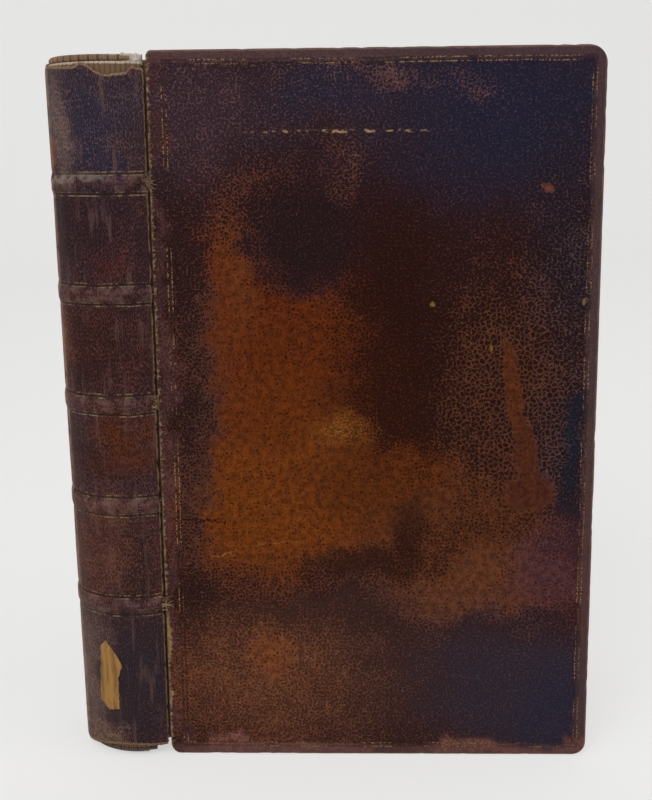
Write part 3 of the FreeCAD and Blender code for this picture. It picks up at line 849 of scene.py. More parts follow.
@dataclass(frozen=True)
class PaperFinish:
    """Aged paper, browned in clouds and darkened by painted shade towards the spine, with foxing and the ends
    of its leaves as fine lines.
    """

    name: str
    sheet_colour: Colour
    brown: Colour
    foxing: float
    browning: float = 0.5
    leaves_per_mm: float = 0.0
    clouds_per_mm: float = 0.03
    grain: float = 1.0
    margin: float = 3.0
    leaf_top: float = 197.0

    def material(self) -> bpy.types.Material:
        """Build the paper's material.

        Returns:
            The material.
        """
        sheet = NodeSheet(bpy.data.materials.new(self.name))
        place = sheet.millimetres()
        clouds = sheet.noise(sheet.stretched(place, (1.0, 1.0, self.grain)), self.clouds_per_mm,
                             4.0, 0.6)
        colour = sheet.lay(self.sheet_colour, sheet.rise(clouds, 0.35, 0.7), self.browning,
                           self.brown)
        deep, _, up = sheet.parts(place)
        # Painted shade: the paper is browned to (78, 56, 42) towards the spine side, below about -39 mm across,
        # where shade falls.
        if self.grain == 1.0:
            near = sheet.rise(sheet.times_plus(clouds, 6.0, deep), -39.0, -45.0)
            colour = sheet.lay(colour, near, 0.8, (78, 56, 42))
        spots = sheet.rise(sheet.noise(place, 0.35, 5.0, 0.7), 0.62, 0.74)
        colour = sheet.lay(colour, spots, self.foxing, (122, 82, 46))
        fibres = sheet.noise(sheet.stretched(place, (1.0, 1.0, 0.3)), 2.5, 3.0, 0.6)
        height = fibres
        if self.leaves_per_mm > 0:
            across = sheet.parts(sheet.drift(place, 0.05, 1.2))[1]
            across = sheet.math("ADD", across, sheet.times(fibres, 0.2))
            leaf = sheet.math("PINGPONG", across, 0.5 / self.leaves_per_mm)
            leaf = sheet.times(leaf, 2 * self.leaves_per_mm)
            uneven = sheet.noise(sheet.stretched(place, (0.05, 3.0, 0.05)), 1.0, 2.0)
            colour = sheet.lay(colour, sheet.rise(uneven, 0.4, 0.7), 0.55, (124, 98, 68))
            colour = sheet.lay(colour, sheet.rise(leaf, 0.4, 0.0), 0.5, (92, 70, 46))
            height = sheet.math("ADD", leaf, sheet.times(uneven, 0.8))
            glue = sheet.rise(sheet.times_plus(fibres, 3.0, deep), -43.0, -46.5)
            sides = sheet.times(sheet.rise(up, self.leaf_top - 0.01, self.leaf_top - 0.04),
                                sheet.rise(up, self.margin + 0.01, self.margin + 0.04))
            tips = sheet.rise(sheet.times_plus(fibres, 1.2, up), 196.9, 197.2)
            folds = sheet.mix(tips, (104, 82, 64), (186, 172, 152))
            colour = sheet.lay(colour, sheet.times(glue, sides), 0.9, folds)
        return sheet.finish(colour, 0.85, height, 0.06, 0.2)


@dataclass(frozen=True)
class ThreadFinish:
    """Twisted thread or cord, faded unevenly."""

    name: str
    first: Colour
    second: Colour
    stripes: bool = False

    def material(self) -> bpy.types.Material:
        """Build the thread's material.

        Returns:
            The material.
        """
        sheet = NodeSheet(bpy.data.materials.new(self.name))
        place = sheet.millimetres()
        clouds = sheet.noise(place, 0.35, 4.0, 0.6)
        share = sheet.stored("tint", "Fac") if self.stripes else sheet.rise(clouds, 0.4, 0.62)
        colour = sheet.mix(share, self.first, self.second)
        colour = sheet.lay(colour, sheet.rise(clouds, 0.45, 0.65), 0.4, (104, 84, 66))
        strands = sheet.noise(sheet.stretched(place, (1.0, 1.0, 3.0)), 2.4, 3.0, 0.6)
        colour = sheet.lay(colour, sheet.rise(strands, 0.5, 0.72), 0.5, (58, 38, 28))
        return sheet.finish(colour, 0.8, strands, 0.10, 0.2, 0.2)


def linked(name: str, data: bpy.types.ID) -> bpy.types.Object:
    """Stand data in the scene as an object at the origin."""
    made = bpy.data.objects.new(name, data)
    bpy.context.scene.collection.objects.link(made)
    return made


def to_object(name: str, mesh: bmesh.types.BMesh, material: bpy.types.Material) -> bpy.types.Object:
    """Turn a bmesh in metres into an object with smooth faces, and free it."""
    for face in mesh.faces:
        face.smooth = True
    data = bpy.data.meshes.new(name)
    mesh.to_mesh(data)
    mesh.free()
    data.materials.append(material)
    return linked(name, data)


def skin_object(name: str, mesh: bmesh.types.BMesh, material: bpy.types.Material) -> bpy.types.Object:
    """Turn a bmesh in millimetres into a finished piece in metres.

    Args:
        name: Name of the piece.
        mesh: The shape, which is freed.
        material: Its finish.

    Returns:
        The piece, at the origin.
    """
    bmesh.ops.scale(mesh, vec=(MM, MM, MM), verts=mesh.verts)
    piece = to_object(name, mesh, material)
    LOG.info("%s: %d faces", name, len(piece.data.polygons))
    return piece


def on_block(piece: bpy.types.Object, solid: str) -> bpy.types.Object:
    """Let a piece ride on the book block and stand for a solid of the frame."""
    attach(piece, BLOCK)
    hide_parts(solid)
    return piece


def cloud(x: float, y: float, z: float) -> float:
    """Read the cloudy number of a place, from about -1 to 1."""
    return noise.noise(Vector((x, y, z)))


def cut(mesh: bmesh.types.BMesh, at: Vector, normal: Vector) -> None:
    """Cut all faces of a mesh along a plane."""
    bmesh.ops.bisect_plane(mesh, geom=mesh.verts[:] + mesh.edges[:] + mesh.faces[:],
                           dist=CUT_MERGE, plane_co=at, plane_no=normal)


def slice_mesh(mesh: bmesh.types.BMesh, axis: int, low: float, high: float, step: float) -> None:
    """Cut a mesh with level planes, so that it can be shaped between them.

    Args:
        mesh: The mesh.
        axis: 0, 1 or 2 for X, Y or Z.
        low: Where the cuts start.
        high: Where they end.
        step: Distance between two cuts.
    """
    normal = Vector((0, 0, 0))
    normal[axis] = 1
    for number in range(1, int((high - low) / step)):
        cut(mesh, normal * (low + number * step), normal)


def bevel(mesh: bmesh.types.BMesh, edges: list[bmesh.types.BMEdge], offset: float,
          segments: int, clamp: bool) -> None:
    """Round edges with a number of faces each."""
    bmesh.ops.bevel(mesh, geom=edges, offset=offset, segments=segments, profile=0.5,
                    affect="EDGES", material=-1, clamp_overlap=clamp)


def grid_mesh(across: int, up: int, point: Callable[[float, float], Vector]) -> bmesh.types.BMesh:
    """Lay a grid of faces on a surface.

    Args:
        across: Number of steps across.
        up: Number of steps up.
        point: Gives the place of a point from its two shares, each from 0 to 1.

    Returns:
        The grid.
    """
    mesh = bmesh.new()
    bmesh.ops.create_grid(mesh, x_segments=across, y_segments=up, size=0.5)
    for vert in mesh.verts:
        vert.co = point(vert.co.x + 0.5, vert.co.y + 0.5)
    return mesh


def thicken(mesh: bmesh.types.BMesh, towards: Vector, thickness: float, sample: int = 0) -> None:
    """Turn the faces of a skin outward and give it its thickness behind them.

    Args:
        mesh: The skin.
        towards: Direction of the outside at the sample.
        thickness: Thickness in millimetres.
        sample: Number of the face that is held against it.
    """
    bmesh.ops.recalc_face_normals(mesh, faces=mesh.faces)
    mesh.faces.ensure_lookup_table()
    if mesh.faces[sample].normal.dot(towards) < 0:
        bmesh.ops.reverse_faces(mesh, faces=mesh.faces)
    bmesh.ops.solidify(mesh, geom=mesh.faces[:], thickness=thickness)


def upright(axis: Vector) -> Matrix:
    """Turn that brings Z onto a direction."""
    return axis.to_track_quat("Z", "Y").to_matrix().to_4x4()


def tube(mesh: bmesh.types.BMesh, path: Sequence[Vector], radius: float, sides: int = 5) -> None:
    """Add a thin closed tube that tapers at its end.

    Args:
        mesh: The mesh that it joins, in millimetres.
        path: Points of its middle line.
        radius: Radius at the start.
        sides: Number of sides.
    """
    last = len(path) - 1
    rings = []
    for number, point in enumerate(path):
        ahead = path[min(number + 1, last)] - path[max(number - 1, 0)]
        ring = bmesh.ops.create_circle(mesh, cap_ends=number in (0, last), segments=sides,
                                       radius=radius * (1.0 - 0.55 * number / last),
                                       matrix=Matrix.Translation(point) @ upright(ahead))
        rings.append(ring["verts"])
    for pair in zip(rings, rings[1:]):
        edges = []
        for ring in pair:
            group = set(ring)
            edges += [edge for edge in {e for v in ring for e in v.link_edges}
                      if group.issuperset(edge.verts)]
        bmesh.ops.bridge_loops(mesh, edges=edges)


@dataclass
class CoverSkin:
    """Leather over one board: outer face, rounded edges and turned-in borders."""

    form: BookForm
    cover: Cover
    finish: LeatherFinish
    corners: tuple[float, ...] = (1.5, 5.0, 4.0, 3.0)
    edge_radius: float = 1.0
    joint_radius: float = 0.55
    step: float = 1.5
    turn_in: float = 13.0
    rim_reach: float = 1.6
    slip_rise: float = 0.10
    slip_half: float = 2.4
    seed: float = 0.0

    @property
    def start(self) -> float:
        """Where the leather starts, measured from the joint."""
        return self.form.joint_gap if self.cover is Cover.FRONT else self.form.strip_on_board

    def blank(self) -> bmesh.types.BMesh:
        """Shape a closed plate with rounded corners and edges, in the cover's own place.

        Returns:
            The plate.
        """
        width, height, start = self.form.cover_width, self.form.cover_height, self.start
        mesh = bmesh.new()
        bmesh.ops.create_cube(mesh, size=1.0)
        bmesh.ops.translate(mesh, vec=(0.5, 0.5, 0.5), verts=mesh.verts)
        bmesh.ops.scale(mesh, vec=(width - start, self.form.cover_depth, height),
                        verts=mesh.verts)
        bmesh.ops.translate(mesh, vec=(start, 0, 0), verts=mesh.verts)
        places = ((start, height), (width, height), (width, 0), (start, 0))
        for radius, (x, z) in zip(self.corners, places):
            if x == start and self.cover is Cover.BACK:
                continue
            edge = [e for e in mesh.edges
                    if all(abs(v.co.x - x) < 0.01 and abs(v.co.z - z) < 0.01 for v in e.verts)]
            bevel(mesh, edge, radius, 8, False)
        self.round_rim(mesh)
        return mesh

    def round_rim(self, mesh: bmesh.types.BMesh) -> None:
        """Round the edges of the faces, and less so along the joint.

        Args:
            mesh: The plate.
        """
        rim, joint = [], []
        for edge in mesh.edges:
            level = abs(edge.verts[0].co.y - edge.verts[1].co.y) < 0.001
            flat = len({round(f.normal.y) for f in edge.link_faces}) > 1
            if not level or not flat:
                continue
            if not all(v.co.x < self.start + 0.01 for v in edge.verts):
                rim.append(edge)
            elif edge.verts[0].co.y < self.form.cover_depth / 2 and self.cover is Cover.FRONT:
                joint.append(edge)
        bevel(mesh, rim, self.edge_radius, 4, True)
        joint = [edge for edge in joint if edge.is_valid]
        if joint:
            bevel(mesh, joint, self.joint_radius, 3, True)

    def cut_window(self, mesh: bmesh.types.BMesh) -> None:
        """Cut clean edges for the window of the turned-in borders.

        Args:
            mesh: The plate.
        """
        level = Vector((0, 0, 1))
        cut(mesh, Vector((self.form.cover_width - self.turn_in, 0, 0)), Vector((1, 0, 0)))
        cut(mesh, level * self.turn_in, level)
        cut(mesh, level * (self.form.cover_height - self.turn_in), level)

    def open_up(self, mesh: bmesh.types.BMesh) -> None:
        """Take away the joint side and the window between the turned-in borders.

        Args:
            mesh: The plate, which becomes a skin.
        """
        form = self.form
        gone = []
        for face in mesh.faces:
            centre = face.calc_center_median()
            at_joint = centre.x < self.start + 0.02 and abs(face.normal.x) > 0.9
            window = (centre.y > form.cover_depth - 0.05
                      and centre.x < form.cover_width - self.turn_in
                      and self.turn_in < centre.z < form.cover_height - self.turn_in)
            if at_joint or window:
                gone.append(face)
        bmesh.ops.delete(mesh, geom=gone, context="FACES")

    def wear(self, point: Vector) -> Vector:
        """Move a point of the surface as age has moved it.

        Args:
            point: Point of the new leather, in millimetres in the cover's place.

        Returns:
            How far it has moved.
        """
        form = self.form
        outer = smooth(point.y, form.cover_depth * 0.6, 0.0)
        soft = cloud(point.x * 0.03, point.z * 0.03, self.seed)
        fine = cloud(point.x * 0.35, point.z * 0.35, self.seed + 4)
        sunk = (0.10 * soft + 0.10 + 0.035 * fine) * outer
        to_fore, to_head = form.cover_width - point.x, form.cover_height - point.z
        dent = cloud(point.x * 0.4, point.y * 0.5, point.z * 0.4 + self.seed)
        rubbed = smooth(min(to_fore, point.z, to_head), self.rim_reach, 0.0)
        rubbed *= max(0.0, dent) * 0.28 + 0.04
        inward = Vector((-1.0 if to_fore < self.rim_reach else 0.0, 0, 0))
        inward.z = (1.0 if point.z < self.rim_reach else
                    -1.0 if to_head < self.rim_reach else 0.0)
        slips = 0.0
        for band in form.bands:
            over = math.exp(-((point.z - band) / self.slip_half) ** 2)
            slips += (self.slip_rise * over * smooth(point.x, 11.0, 5.0)
                      * smooth(point.x, 0.6, 2.5))
        return inward * rubbed + Vector((0, sunk - slips * outer, 0))

    def place(self, mesh: bmesh.types.BMesh) -> None:
        """Move the skin from the cover's own place into the frame.

        Args:
            mesh: The skin.
        """
        form = self.form
        if self.cover is Cover.FRONT:
            bmesh.ops.rotate(mesh, cent=(0, 0, 0), matrix=form.front_turn, verts=mesh.verts)
            bmesh.ops.translate(mesh, vec=form.origin, verts=mesh.verts)
            return
        bmesh.ops.scale(mesh, vec=(1, -1, 1), verts=mesh.verts)
        bmesh.ops.reverse_faces(mesh, faces=mesh.faces)
        bmesh.ops.translate(mesh, vec=form.back_origin, verts=mesh.verts)

    def build(self) -> bpy.types.Object:
        """Model the skin and put it in place.

        Returns:
            The piece.
        """
        form = self.form
        mesh = self.blank()
        slice_mesh(mesh, 0, self.start, form.cover_width, self.step)
        slice_mesh(mesh, 2, 0.0, form.cover_height, self.step)
        self.cut_window(mesh)
        self.open_up(mesh)
        for vert in mesh.verts:
            vert.co += self.wear(vert.co)
        depths = [face.calc_center_median().y for face in mesh.faces]
        thicken(mesh, Vector((0, -1, 0)), form.leather - 0.04, depths.index(min(depths)))
        self.finish.paint(mesh, lambda point: (point.x, point.z))
        self.place(mesh)
        return skin_object(self.cover.value + "_leather", mesh,
                           self.finish.cover_material(form, self.cover))

    def dress(self) -> bpy.types.Object:
        """Build the skin, fix it to its cover and let it stand for the plain solid.

        Returns:
            The piece.
        """
        piece = self.build()
        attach(piece, self.cover.value)
        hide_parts(self.cover.name.lower() + "_board_leather")
        return piece


@dataclass
class SpineSkin:
    """Leather over the spine: five low bands, torn head, worn tail and cracked front edge."""

    form: BookForm
    finish: LeatherFinish
    around: int = 96
    rows: int = 300
    band_rise: float = 1.4
    band_half: float = 3.0
    crown_deg: float = 27.0
    head_wear: Outline = (
        (-17.8, 4.6), (-17.5, 4.0), (-17.1, 5.8), (-14.8, 6.4), (-12.9, 5.5), (-11.3, 3.8),
        (-9.8, 3.2), (-7.9, 4.1), (-3.9, 4.0), (2.4, 3.7), (8.0, 3.0), (13.0, 1.9), (17.0, 1.2))
    tail_wear: Outline = (
        (-17.6, 3.3), (-13.3, 4.0), (-8.6, 3.7), (-3.4, 2.7), (3.0, 1.5), (8.0, 0.4), (11.0, 0.0))
    wear_reach: float = 12.0

    def ridge(self, angle: float) -> float:
        """Height of the bands round the spine, rubbed flat over its crown.

        Args:
            angle: Angle from the middle of the spine.

        Returns:
            The rise of the leather in millimetres.
        """
        _, radius, half = self.form.circle(self.form.cover_height / 2)
        crown = math.cos(angle - math.radians(self.crown_deg))
        rise = min(self.band_rise, 1.97 - 1.67 * crown)
        return rise * smooth((half - abs(angle)) * radius, 1.0, 3.2)

    def fullness(self, angle: float) -> float:
        """How much broader than its crest the rubbed part of a band is."""
        return 1.0 + 1.2 * smooth(self.ridge(angle), self.band_rise, 0.3)

    def relief(self, angle: float, height: float) -> float:
        """Relief of the leather over the plain round of the spine.

        Args:
            angle: Angle from the middle of the spine.
            height: Height over the tail.

        Returns:
            The rise of the leather in millimetres.
        """
        bump = 0.0
        for band in self.form.bands:
            off = abs(height - band)
            if off < self.band_half:
                swell = math.cos(math.pi * off / (2 * self.band_half)) ** 2
                bump = self.ridge(angle) * min(1.0, swell * self.fullness(angle))
                bump *= 1.0 + 0.10 * cloud(angle * 9, band, height)
            elif off < self.band_half + 1.2:
                bump -= 0.10 * smooth(off, self.band_half + 1.2, self.band_half + 0.3)
        soft, folds = cloud(angle * 5, height * 0.06, 2.0), cloud(angle * 22, height * 0.02, 7.0)
        return bump + 0.10 * soft + 0.06 * folds - 0.08

    def worn_ends(self, middle: float) -> tuple[float, float]:
        """Read where the worn leather ends.

        Args:
            middle: Place across from the middle of the spine.

        Returns:
            Height of its top and foot.
        """
        return (self.form.cover_height - along_points(self.head_wear, middle),
                along_points(self.tail_wear, middle))

    def point(self, across: float, up: float) -> Vector:
        """Point of the skin from its two shares.

        Args:
            across: 0 at the front joint, 1 at the back one.
            up: 0 at the tail, 1 at the head.

        Returns:
            The point in millimetres in the frame.
        """
        form = self.form
        height = rough = form.cover_height * up
        _, radius, half = form.circle(rough)
        chip = 0.5 * cloud(0.0, rough * 0.3, 9.0)
        chip += 0.4 * cloud(3.0, rough * 1.1, 9.0)
        first = -half + (0.3 + max(-0.2, chip)) / radius
        last = half - form.strip_on_spine / radius
        angle = first + (last - first) * across
        top, foot = self.worn_ends(radius * math.sin(angle))
        ragged = cloud(angle * 30, 0, 5.0) * 0.45
        ragged += cloud(angle * 90, 0, 6.0) * 0.22
        top += ragged * 0.8
        foot = max(0.0, foot + ragged * 0.35)
        if rough < self.wear_reach:
            height = foot + (self.wear_reach - foot) * rough / self.wear_reach
        left = form.cover_height - rough
        if left < self.wear_reach:
            start = form.cover_height - self.wear_reach
            height = start + (top - start) * (1 - left / self.wear_reach)
        thin = smooth(top - height, 1.4, 0.0) * 0.35 + smooth(height - foot, 1.2, 0.0) * 0.3
        return form.spine_point(height, angle, self.relief(angle, height) - thin)

    def mark_torn(self, mesh: bmesh.types.BMesh) -> None:
        """Store how near each point lies to the torn edges of the skin.

        Args:
            mesh: The skin.
        """
        layer = mesh.verts.layers.float.new("raw")
        for vert in mesh.verts:
            arc, up = self.form.unrolled(vert.co)
            _, radius, half = self.form.circle(up)
            top, foot = self.worn_ends(radius * math.sin(arc / radius - half))
            vert[layer] = max(smooth(top - up, 1.3, -0.2), smooth(up - foot, 1.5, 0.1) * 0.95,
                              smooth(arc, 0.8, 0.1))

    def dress(self) -> bpy.types.Object:
        """Build the spine's leather over the folds and cords.

        Returns:
            The piece.
        """
        mesh = grid_mesh(self.around, self.rows, self.point)
        mesh.faces.ensure_lookup_table()
        sample = len(mesh.faces) // 2
        centre, _, _ = self.form.circle(self.form.cover_height / 2)
        out = mesh.faces[sample].calc_center_median() - centre
        out.z = 0
        thicken(mesh, out, self.form.leather - 0.1, sample)
        self.finish.paint(mesh, self.form.unrolled)
        self.mark_torn(mesh)
        return on_block(skin_object("spine_cover_leather", mesh,
                                    self.finish.spine_material(self.form)),
                        "spine_leather")


@dataclass
class BackJoint:
    """Strip of leather over the back joint, from the spine onto the board."""

    form: BookForm
    finish: LeatherFinish
    rows: int = 100
    across: int = 12
    sunk: float = 0.05

    def point(self, share: float, up: float) -> Vector:
        """Point of the strip from its two shares.

        Args:
            share: 0 on the spine, 1 on the board.
            up: 0 at the tail, 1 at the head.

        Returns:
            The point in millimetres in the frame.
        """
        form = self.form
        height = form.cover_height * up
        _, radius, half = form.circle(height)
        if share < 0.5:
            angle = half - form.strip_on_spine / radius * (1 - share * 2)
            return form.spine_point(height, angle, -self.sunk)
        return form.back_origin + Vector((form.strip_on_board * (share * 2 - 1), -self.sunk,
                                          height))

    def dress(self) -> bpy.types.Object:
        """Build the strip between the block and the cover.

        Returns:
            The piece.
        """
        form, joint = self.form, self.form.back_origin
        mesh = grid_mesh(self.across, self.rows, self.point)
        thicken(mesh, Vector((0, 1, 0)), form.leather - 0.1)
        self.finish.paint(mesh, lambda point: (point.x - joint.x, point.z))
        piece = skin_object("back_joint_skin", mesh, self.finish.cover_material(form, Cover.BACK))
        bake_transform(piece)
        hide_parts("back_joint_leather")
        return piece


@dataclass
class FrontJoint:
    """Bare ends of the cords and a torn scrap of paper in the cracked joint."""

    form: BookForm
    hemp: bpy.types.Material
    paper: bpy.types.Material
    fibres: int = 16
    seed: int = 5
    knots: Outline = ((166.4, 2.8), (47.2, 3.2), (105.8, 1.0))

    def cords(self) -> bpy.types.Object:
        """Fray the cords that still hold the cover.

        Returns:
            The piece.
        """
        form = self.form
        chance = random.Random(self.seed)
        mesh = bmesh.new()
        turn = form.front_turn
        for band in form.bands:
            for _ in range(self.fibres):
                level = band + chance.uniform(-1.6, 1.6)
                deep = chance.uniform(0.9, 2.6)
                start = form.origin + Vector((-0.6, deep, level))
                end = form.origin + turn @ Vector((0.45, deep, level + chance.uniform(-0.8, 0.8)))
                sag = Vector((0, -chance.uniform(0.0, 0.9), chance.uniform(-0.3, 0.3)))
                tube(mesh, [start, start.lerp(end, 0.5) + sag, end], chance.uniform(0.10, 0.2))
        for band, reach in self.knots:
            for _ in range(self.fibres):
                level = band + chance.triangular(-2.6, 2.2)
                out = chance.triangular(0.4, reach, 0.6)
                start = form.origin + Vector((-chance.triangular(0.3, 2.6, 0.6), -0.45, level))
                middle = form.origin + turn @ Vector((0.3, -0.45, level + chance.uniform(-1, 1)))
                end = form.origin + turn @ Vector((out, -chance.uniform(0.05, 0.5),
                                                   level + chance.uniform(-2.4, 2.4)))
                tube(mesh, [start, middle, end], chance.uniform(0.08, 0.2))
        bmesh.ops.recalc_face_normals(mesh, faces=mesh.faces)
        piece = skin_object("front_joint_fibres", mesh, self.hemp)
        start, end = ((form.origin + Vector((x, 0, 0))) * MM for x in (-0.6, 0.8))
        tuple(start)
        tuple(end)
        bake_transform(piece)
        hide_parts("front_joint_cords")
        return piece

    def scrap_point(self, side: float, up: float) -> Vector:
        """Point of the torn paper from its two shares."""
        torn = 0.7 * cloud(side * 5, 0, 3) + 0.4 * cloud(side * 14, 0, 8)
        crease = 0.35 * cloud(side * 4, up * 3, 5)
        return self.form.origin + Vector((-5.6 + 5.7 * side, 2.3 + crease + 0.9 * side * side,
                                          196.2 + (3.0 + torn) * up))

    def scrap(self) -> bpy.types.Object:
        """Tear off the pale paper that stands up at the head of the joint.

        Returns:
            The piece.
        """
        mesh = grid_mesh(16, 12, self.scrap_point)
        thicken(mesh, Vector((0, -1, 0)), 0.18)
        piece = skin_object("joint_paper_scrap", mesh, self.paper)
        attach(piece, BLOCK)
        return piece

    def dress(self) -> list[bpy.types.Object]:
        """Build all that shows in the joint."""
        return [self.cords(), self.scrap()]


@dataclass
class Endband:
    """Silk wound over the core of an endband, two colours in turn."""

    form: BookForm
    side: str
    silk: bpy.types.Material
    base: float
    up: int
    band_radius: float = 0.95
    thread: float = 0.2
    pitch: float = 0.5
    end_deg: float = 20.0
    fold_gap: float = 0.36

    def turn(self, mesh: bmesh.types.BMesh, middle: Vector, out: Vector, axis: Vector,
             size: float) -> set[bmesh.types.BMVert]:
        """Wind one turn of the thread.

        Args:
            mesh: The mesh that it joins.
            middle: Middle of the core.
            out: Direction away from the book.
            axis: Direction of the core.
            size: Half the thread's thickness.

        Returns:
            The points of the turn.
        """
        start = middle + out * (self.band_radius - size)
        ring = bmesh.ops.create_circle(
            mesh, segments=6, radius=size * 1.15,
            matrix=Matrix.Translation(start) @ upright(axis.cross(out)))["verts"]
        known = set(mesh.verts) - set(ring)
        edges = list({edge for vert in ring for edge in vert.link_edges})
        bmesh.ops.spin(mesh, geom=ring + edges, cent=middle, axis=axis, angle=2 * math.pi,
                       steps=12, use_merge=True)
        return set(mesh.verts) - known

    def dress(self) -> bpy.types.Object:
        """Wind the silk and lay it on the ends of the leaves.

        Returns:
            The piece.
        """
        form = self.form
        centre, radius, half = form.circle(self.base)
        reach = radius - (form.leather + self.fold_gap + self.band_radius)
        spread = half - math.radians(self.end_deg)
        count = int(2 * spread * reach / self.pitch)
        mesh = bmesh.new()
        tint = mesh.verts.layers.float.new("tint")
        for number in range(count + 1):
            angle = -spread + 2 * spread * number / count
            out = form.outward * math.cos(angle) + form.along * math.sin(angle)
            axis = form.along * math.cos(angle) - form.outward * math.sin(angle)
            middle = centre + out * reach + Vector((0, 0, self.base + self.up * self.band_radius))
            size = self.thread * (1 + 0.2 * cloud(number * 0.7, 0, self.up))
            for vert in self.turn(mesh, middle, out, axis, size):
                vert[tint] = 1.0 if number % 5 == 1 else 0.0
        bmesh.ops.recalc_face_normals(mesh, faces=mesh.faces)
        return on_block(skin_object(self.side + "_endband_wraps", mesh, self.silk), self.side + "_endband_silk")


@dataclass
class Label:
    """Scrap of a browned paper label on the spine."""

    form: BookForm
    finish: PaperFinish
    outline: Outline = (
        (-5.6, 34.2), (-7.4, 36.1), (-10.1, 32.0), (-11.5, 29.0), (-10.4, 24.6), (-10.2, 15.2),
        (-7.4, 14.6), (-4.3, 17.3))
    lift: float = 0.14
    thickness: float = 0.14

    def dress(self) -> bpy.types.Object:
        """Build the scrap on the curve of the spine.

        Returns:
            The piece.
        """
        form = self.form
        mesh = bmesh.new()
        mesh.faces.new([mesh.verts.new((across, 0, up)) for across, up in self.outline])
        for axis, values, step in ((0, [p[0] for p in self.outline], 0.4),
                                   (2, [p[1] for p in self.outline], 0.8)):
            slice_mesh(mesh, axis, min(values), max(values), step)
        for vert in mesh.verts:
            across, up = vert.co.x, vert.co.z
            across += 0.3 * cloud(across * 0.9, up * 0.9, 1.0)
            up += 0.3 * cloud(across * 0.9, up * 0.9, 8.0)
            _, radius, _ = form.circle(up)
            lift = self.lift + 0.05 * cloud(across, up * 0.5, 3.0)
            vert.co = form.spine_point(up, math.asin(across / radius), lift)
        thicken(mesh, form.outward, self.thickness)
        return on_block(skin_object("label_scrap", mesh, self.finish.material()),
                        "label_remnant")


@dataclass
class Studio:
    """Pale sweep, soft lamps and the camera of the picture."""

    form: BookForm
    camera_from_joint: tuple[float, float, float] = (-46.2, -325.4, 169.8)
    yaw_deg: float = -16.29
    pitch_deg: float = 11.13
    roll_deg: float = -0.62
    focal_px: float = 1195.0
    sweep_radius: float = 0.8
    sweep_back: float = 1.6
    sweep_half: float = 9.0
    sweep_steps: int = 16
    sweep_height: float = 3.0
    paper: Colour = (236, 235, 233)
    paper_seen: float = 0.55
    world_light: float = 0.55
    world_seen: float = 0.86

    def floor(self) -> bpy.types.Object:
        """Bend a sweep of pale paper that curves up behind the book.

        Returns:
            The sweep.
        """
        mesh = bmesh.new()
        profile = [Vector((0, -self.sweep_half, 0)), Vector((0, self.sweep_back, 0))]
        for number in range(1, self.sweep_steps + 1):
            angle = math.pi / 2 * number / self.sweep_steps
            profile.append(Vector((0, self.sweep_back + self.sweep_radius * math.sin(angle),
                                   self.sweep_radius * (1 - math.cos(angle)))))
        profile.append(profile[-1] + Vector((0, 0, self.sweep_height)))
        verts = [mesh.verts.new(point - Vector((self.sweep_half, 0, 0))) for point in profile]
        edges = [mesh.edges.new(pair) for pair in zip(verts, verts[1:])]
        swept = bmesh.ops.extrude_edge_only(mesh, edges=edges)["geom"]
        moved = [item for item in swept if isinstance(item, bmesh.types.BMVert)]
        bmesh.ops.translate(mesh, vec=(2 * self.sweep_half, 0, 0), verts=moved)
        bmesh.ops.recalc_face_normals(mesh, faces=mesh.faces)
        sheet = NodeSheet(bpy.data.materials.new("studio_paper"))
        sheet.finish(sheet.mix(0.0, self.paper, self.paper), 0.9, None, 0.0, 0.2)
        sweep = to_object("studio_sweep", mesh, sheet.seen_white(self.paper_seen))
        return sweep

    def lamp(self, name: str, place: tuple[float, float, float], watts: float) -> None:
        """Hang a square soft lamp that faces the book.

        Args:
            name: Name of the lamp.
            place: Its place in metres.
            watts: Its power.
        """
        light = bpy.data.lights.new(name, "AREA")
        light.energy = watts
        light.size = 0.9
        holder = linked(name, light)
        holder.location = place
        aim = Vector((0, 0, 0.1)) - Vector(place)
        holder.rotation_euler = aim.to_track_quat("-Z", "Y").to_euler()

    def world(self) -> None:
        """Even pale light from all round, as pale as the floor where it is seen itself."""
        world = bpy.data.worlds.new("studio")
        sheet = NodeSheet(world)
        level = sheet.node("ShaderNodeMapRange", {
            "Value": sheet.seen(), "To Min": self.world_light, "To Max": self.world_seen})
        back = sheet.node("ShaderNodeBackground", {
            "Color": (1.0, 1.0, 1.0, 1.0), "Strength": level.outputs[0]})
        sheet.node("ShaderNodeOutputWorld", {"Surface": back.outputs[0]})
        bpy.context.scene.world = world

    def camera(self) -> None:
        """Stand the camera where the picture was taken from."""
        yaw, pitch, roll = (math.radians(angle)
                            for angle in (self.yaw_deg, self.pitch_deg, self.roll_deg))
        ahead = Vector((-math.sin(yaw) * math.cos(pitch), math.cos(yaw) * math.cos(pitch),
                        -math.sin(pitch)))
        right = Vector((math.cos(yaw), math.sin(yaw), 0))
        up = right.cross(ahead)
        side = right * math.cos(roll) + up * math.sin(roll)
        top = -right * math.sin(roll) + up * math.cos(roll)
        data = bpy.data.cameras.new("view")
        data.lens = SENSOR_MM * self.focal_px / IMAGE_LONG_SIDE
        data.sensor_width = SENSOR_MM
        data.clip_start = 0.01
        camera = linked("view", data)
        place = (self.form.origin + Vector(self.camera_from_joint)) * MM
        rows = [(side[at], top[at], -ahead[at], place[at]) for at in range(3)]
        camera.matrix_world = Matrix((*rows, (0, 0, 0, 1)))
        bpy.context.scene.camera = camera

    def build(self) -> None:
        """Set the whole stage."""
        self.camera()
        self.floor()
        self.world()
        self.lamp("key_lamp", (-0.75, -0.95, 0.95), 9.0)
        self.lamp("fill_lamp", (1.0, -0.7, 0.5), 3.0)
        bpy.context.scene.view_settings.view_transform = "Standard"


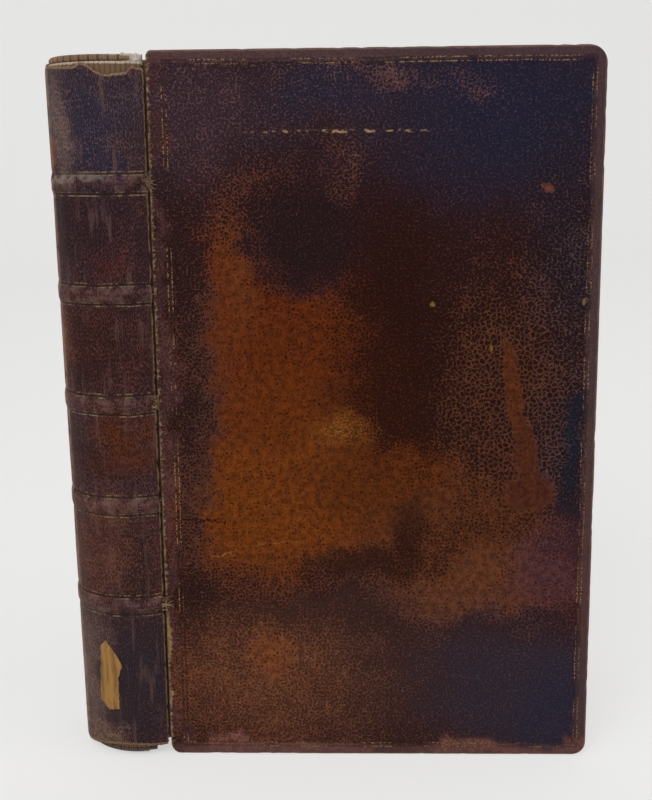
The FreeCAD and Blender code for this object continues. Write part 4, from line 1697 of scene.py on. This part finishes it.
@dataclass
class Papers:
    """Finishes of the solids that stay as the frame has them."""

    nodes: dict[str, bpy.types.Object]

    def dress(self) -> None:
        """Give each carried-over solid its own finish."""
        plain = PaperFinish("endpaper", (192, 176, 148), (150, 120, 84), 0.6)
        hemp = ThreadFinish("hemp", (158, 132, 92), (122, 96, 62))
        kinds = {
            "text_block": PaperFinish("leaf_edges", (178, 156, 120), (132, 102, 68), 0.3,
                                      leaves_per_mm=1.6),
            "pastedown": plain, "endpaper": plain,
            "board": PaperFinish("pasteboard", (150, 124, 90), (112, 86, 58), 0.3, 0.6,
                                 leaves_per_mm=2.2),
            # The tail endband's core is darkened: partly dust, partly painted shade.
            "tail_endband": ThreadFinish("dusty_shaded_core", (78, 62, 50), (64, 46, 38)),
            "silk": ThreadFinish("endband_silk", (132, 100, 76), (120, 52, 38)),
            "core": hemp, "cord": hemp}
        made: dict[str, bpy.types.Material] = {}
        for name, node in self.nodes.items():
            part = next((part for part in kinds if part in name), None)
            if part is None:
                continue
            if part not in made:
                made[part] = kinds[part].material()
            node.data.materials.clear()
            node.data.materials.append(made[part])
            LOG.info("%s wears %s", name, kinds[part].name)


def main() -> None:
    """Build the classes in order and report each piece."""
    logging.basicConfig(level=logging.INFO, format="%(message)s")
    noise.seed_set(11)
    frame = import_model()
    hinge = next(j for j in frame["joints"] if j["name"] == "front_cover_hinge")
    form = BookForm(front_joint=(hinge["pos_m"][0] / MM, hinge["pos_m"][1] / MM))
    Studio(form).build()
    Papers(frame["nodes"]).dress()
    front = LeatherFinish("front_calf", FRONT_STAINS,
                          open_net=Stain((98, 108), (20, 34), turn=6, soft=0.6))
    back = LeatherFinish("back_calf", BACK_STAINS)
    spine = LeatherFinish("spine_calf", SPINE_STAINS, (90, 56, 50), (46, 31, 35))
    CoverSkin(form, Cover.FRONT, front).dress()
    CoverSkin(form, Cover.BACK, back, seed=20.0).dress()
    SpineSkin(form, spine).dress()
    BackJoint(form, back).dress()
    hemp = ThreadFinish("frayed_hemp", (136, 110, 76), (92, 68, 48)).material()
    scrap = PaperFinish("scrap_paper", (212, 204, 192), (158, 142, 118), 0.2, 0.6,
                        clouds_per_mm=0.5, grain=0.8).material()
    FrontJoint(form, hemp, scrap).dress()
    silk = ThreadFinish("wound_silk", (142, 114, 86), (112, 56, 42), True).material()
    # Tail silk darkened: partly dust, partly painted shade, as if the tail lay in shadow.
    dust_and_shade_silk = ThreadFinish("dusty_shaded_silk", (92, 74, 60), (76, 46, 38), True).material()
    Endband(form, "head", silk, form.cover_height - form.square, 1).dress()
    Endband(form, "tail", dust_and_shade_silk, form.square, -1).dress()
    Label(form, PaperFinish("label_paper", (156, 116, 62), (112, 76, 44), 0.5, 0.9,
                            clouds_per_mm=0.8, grain=0.12)).dress()


if __name__ == "__main__":
    main()
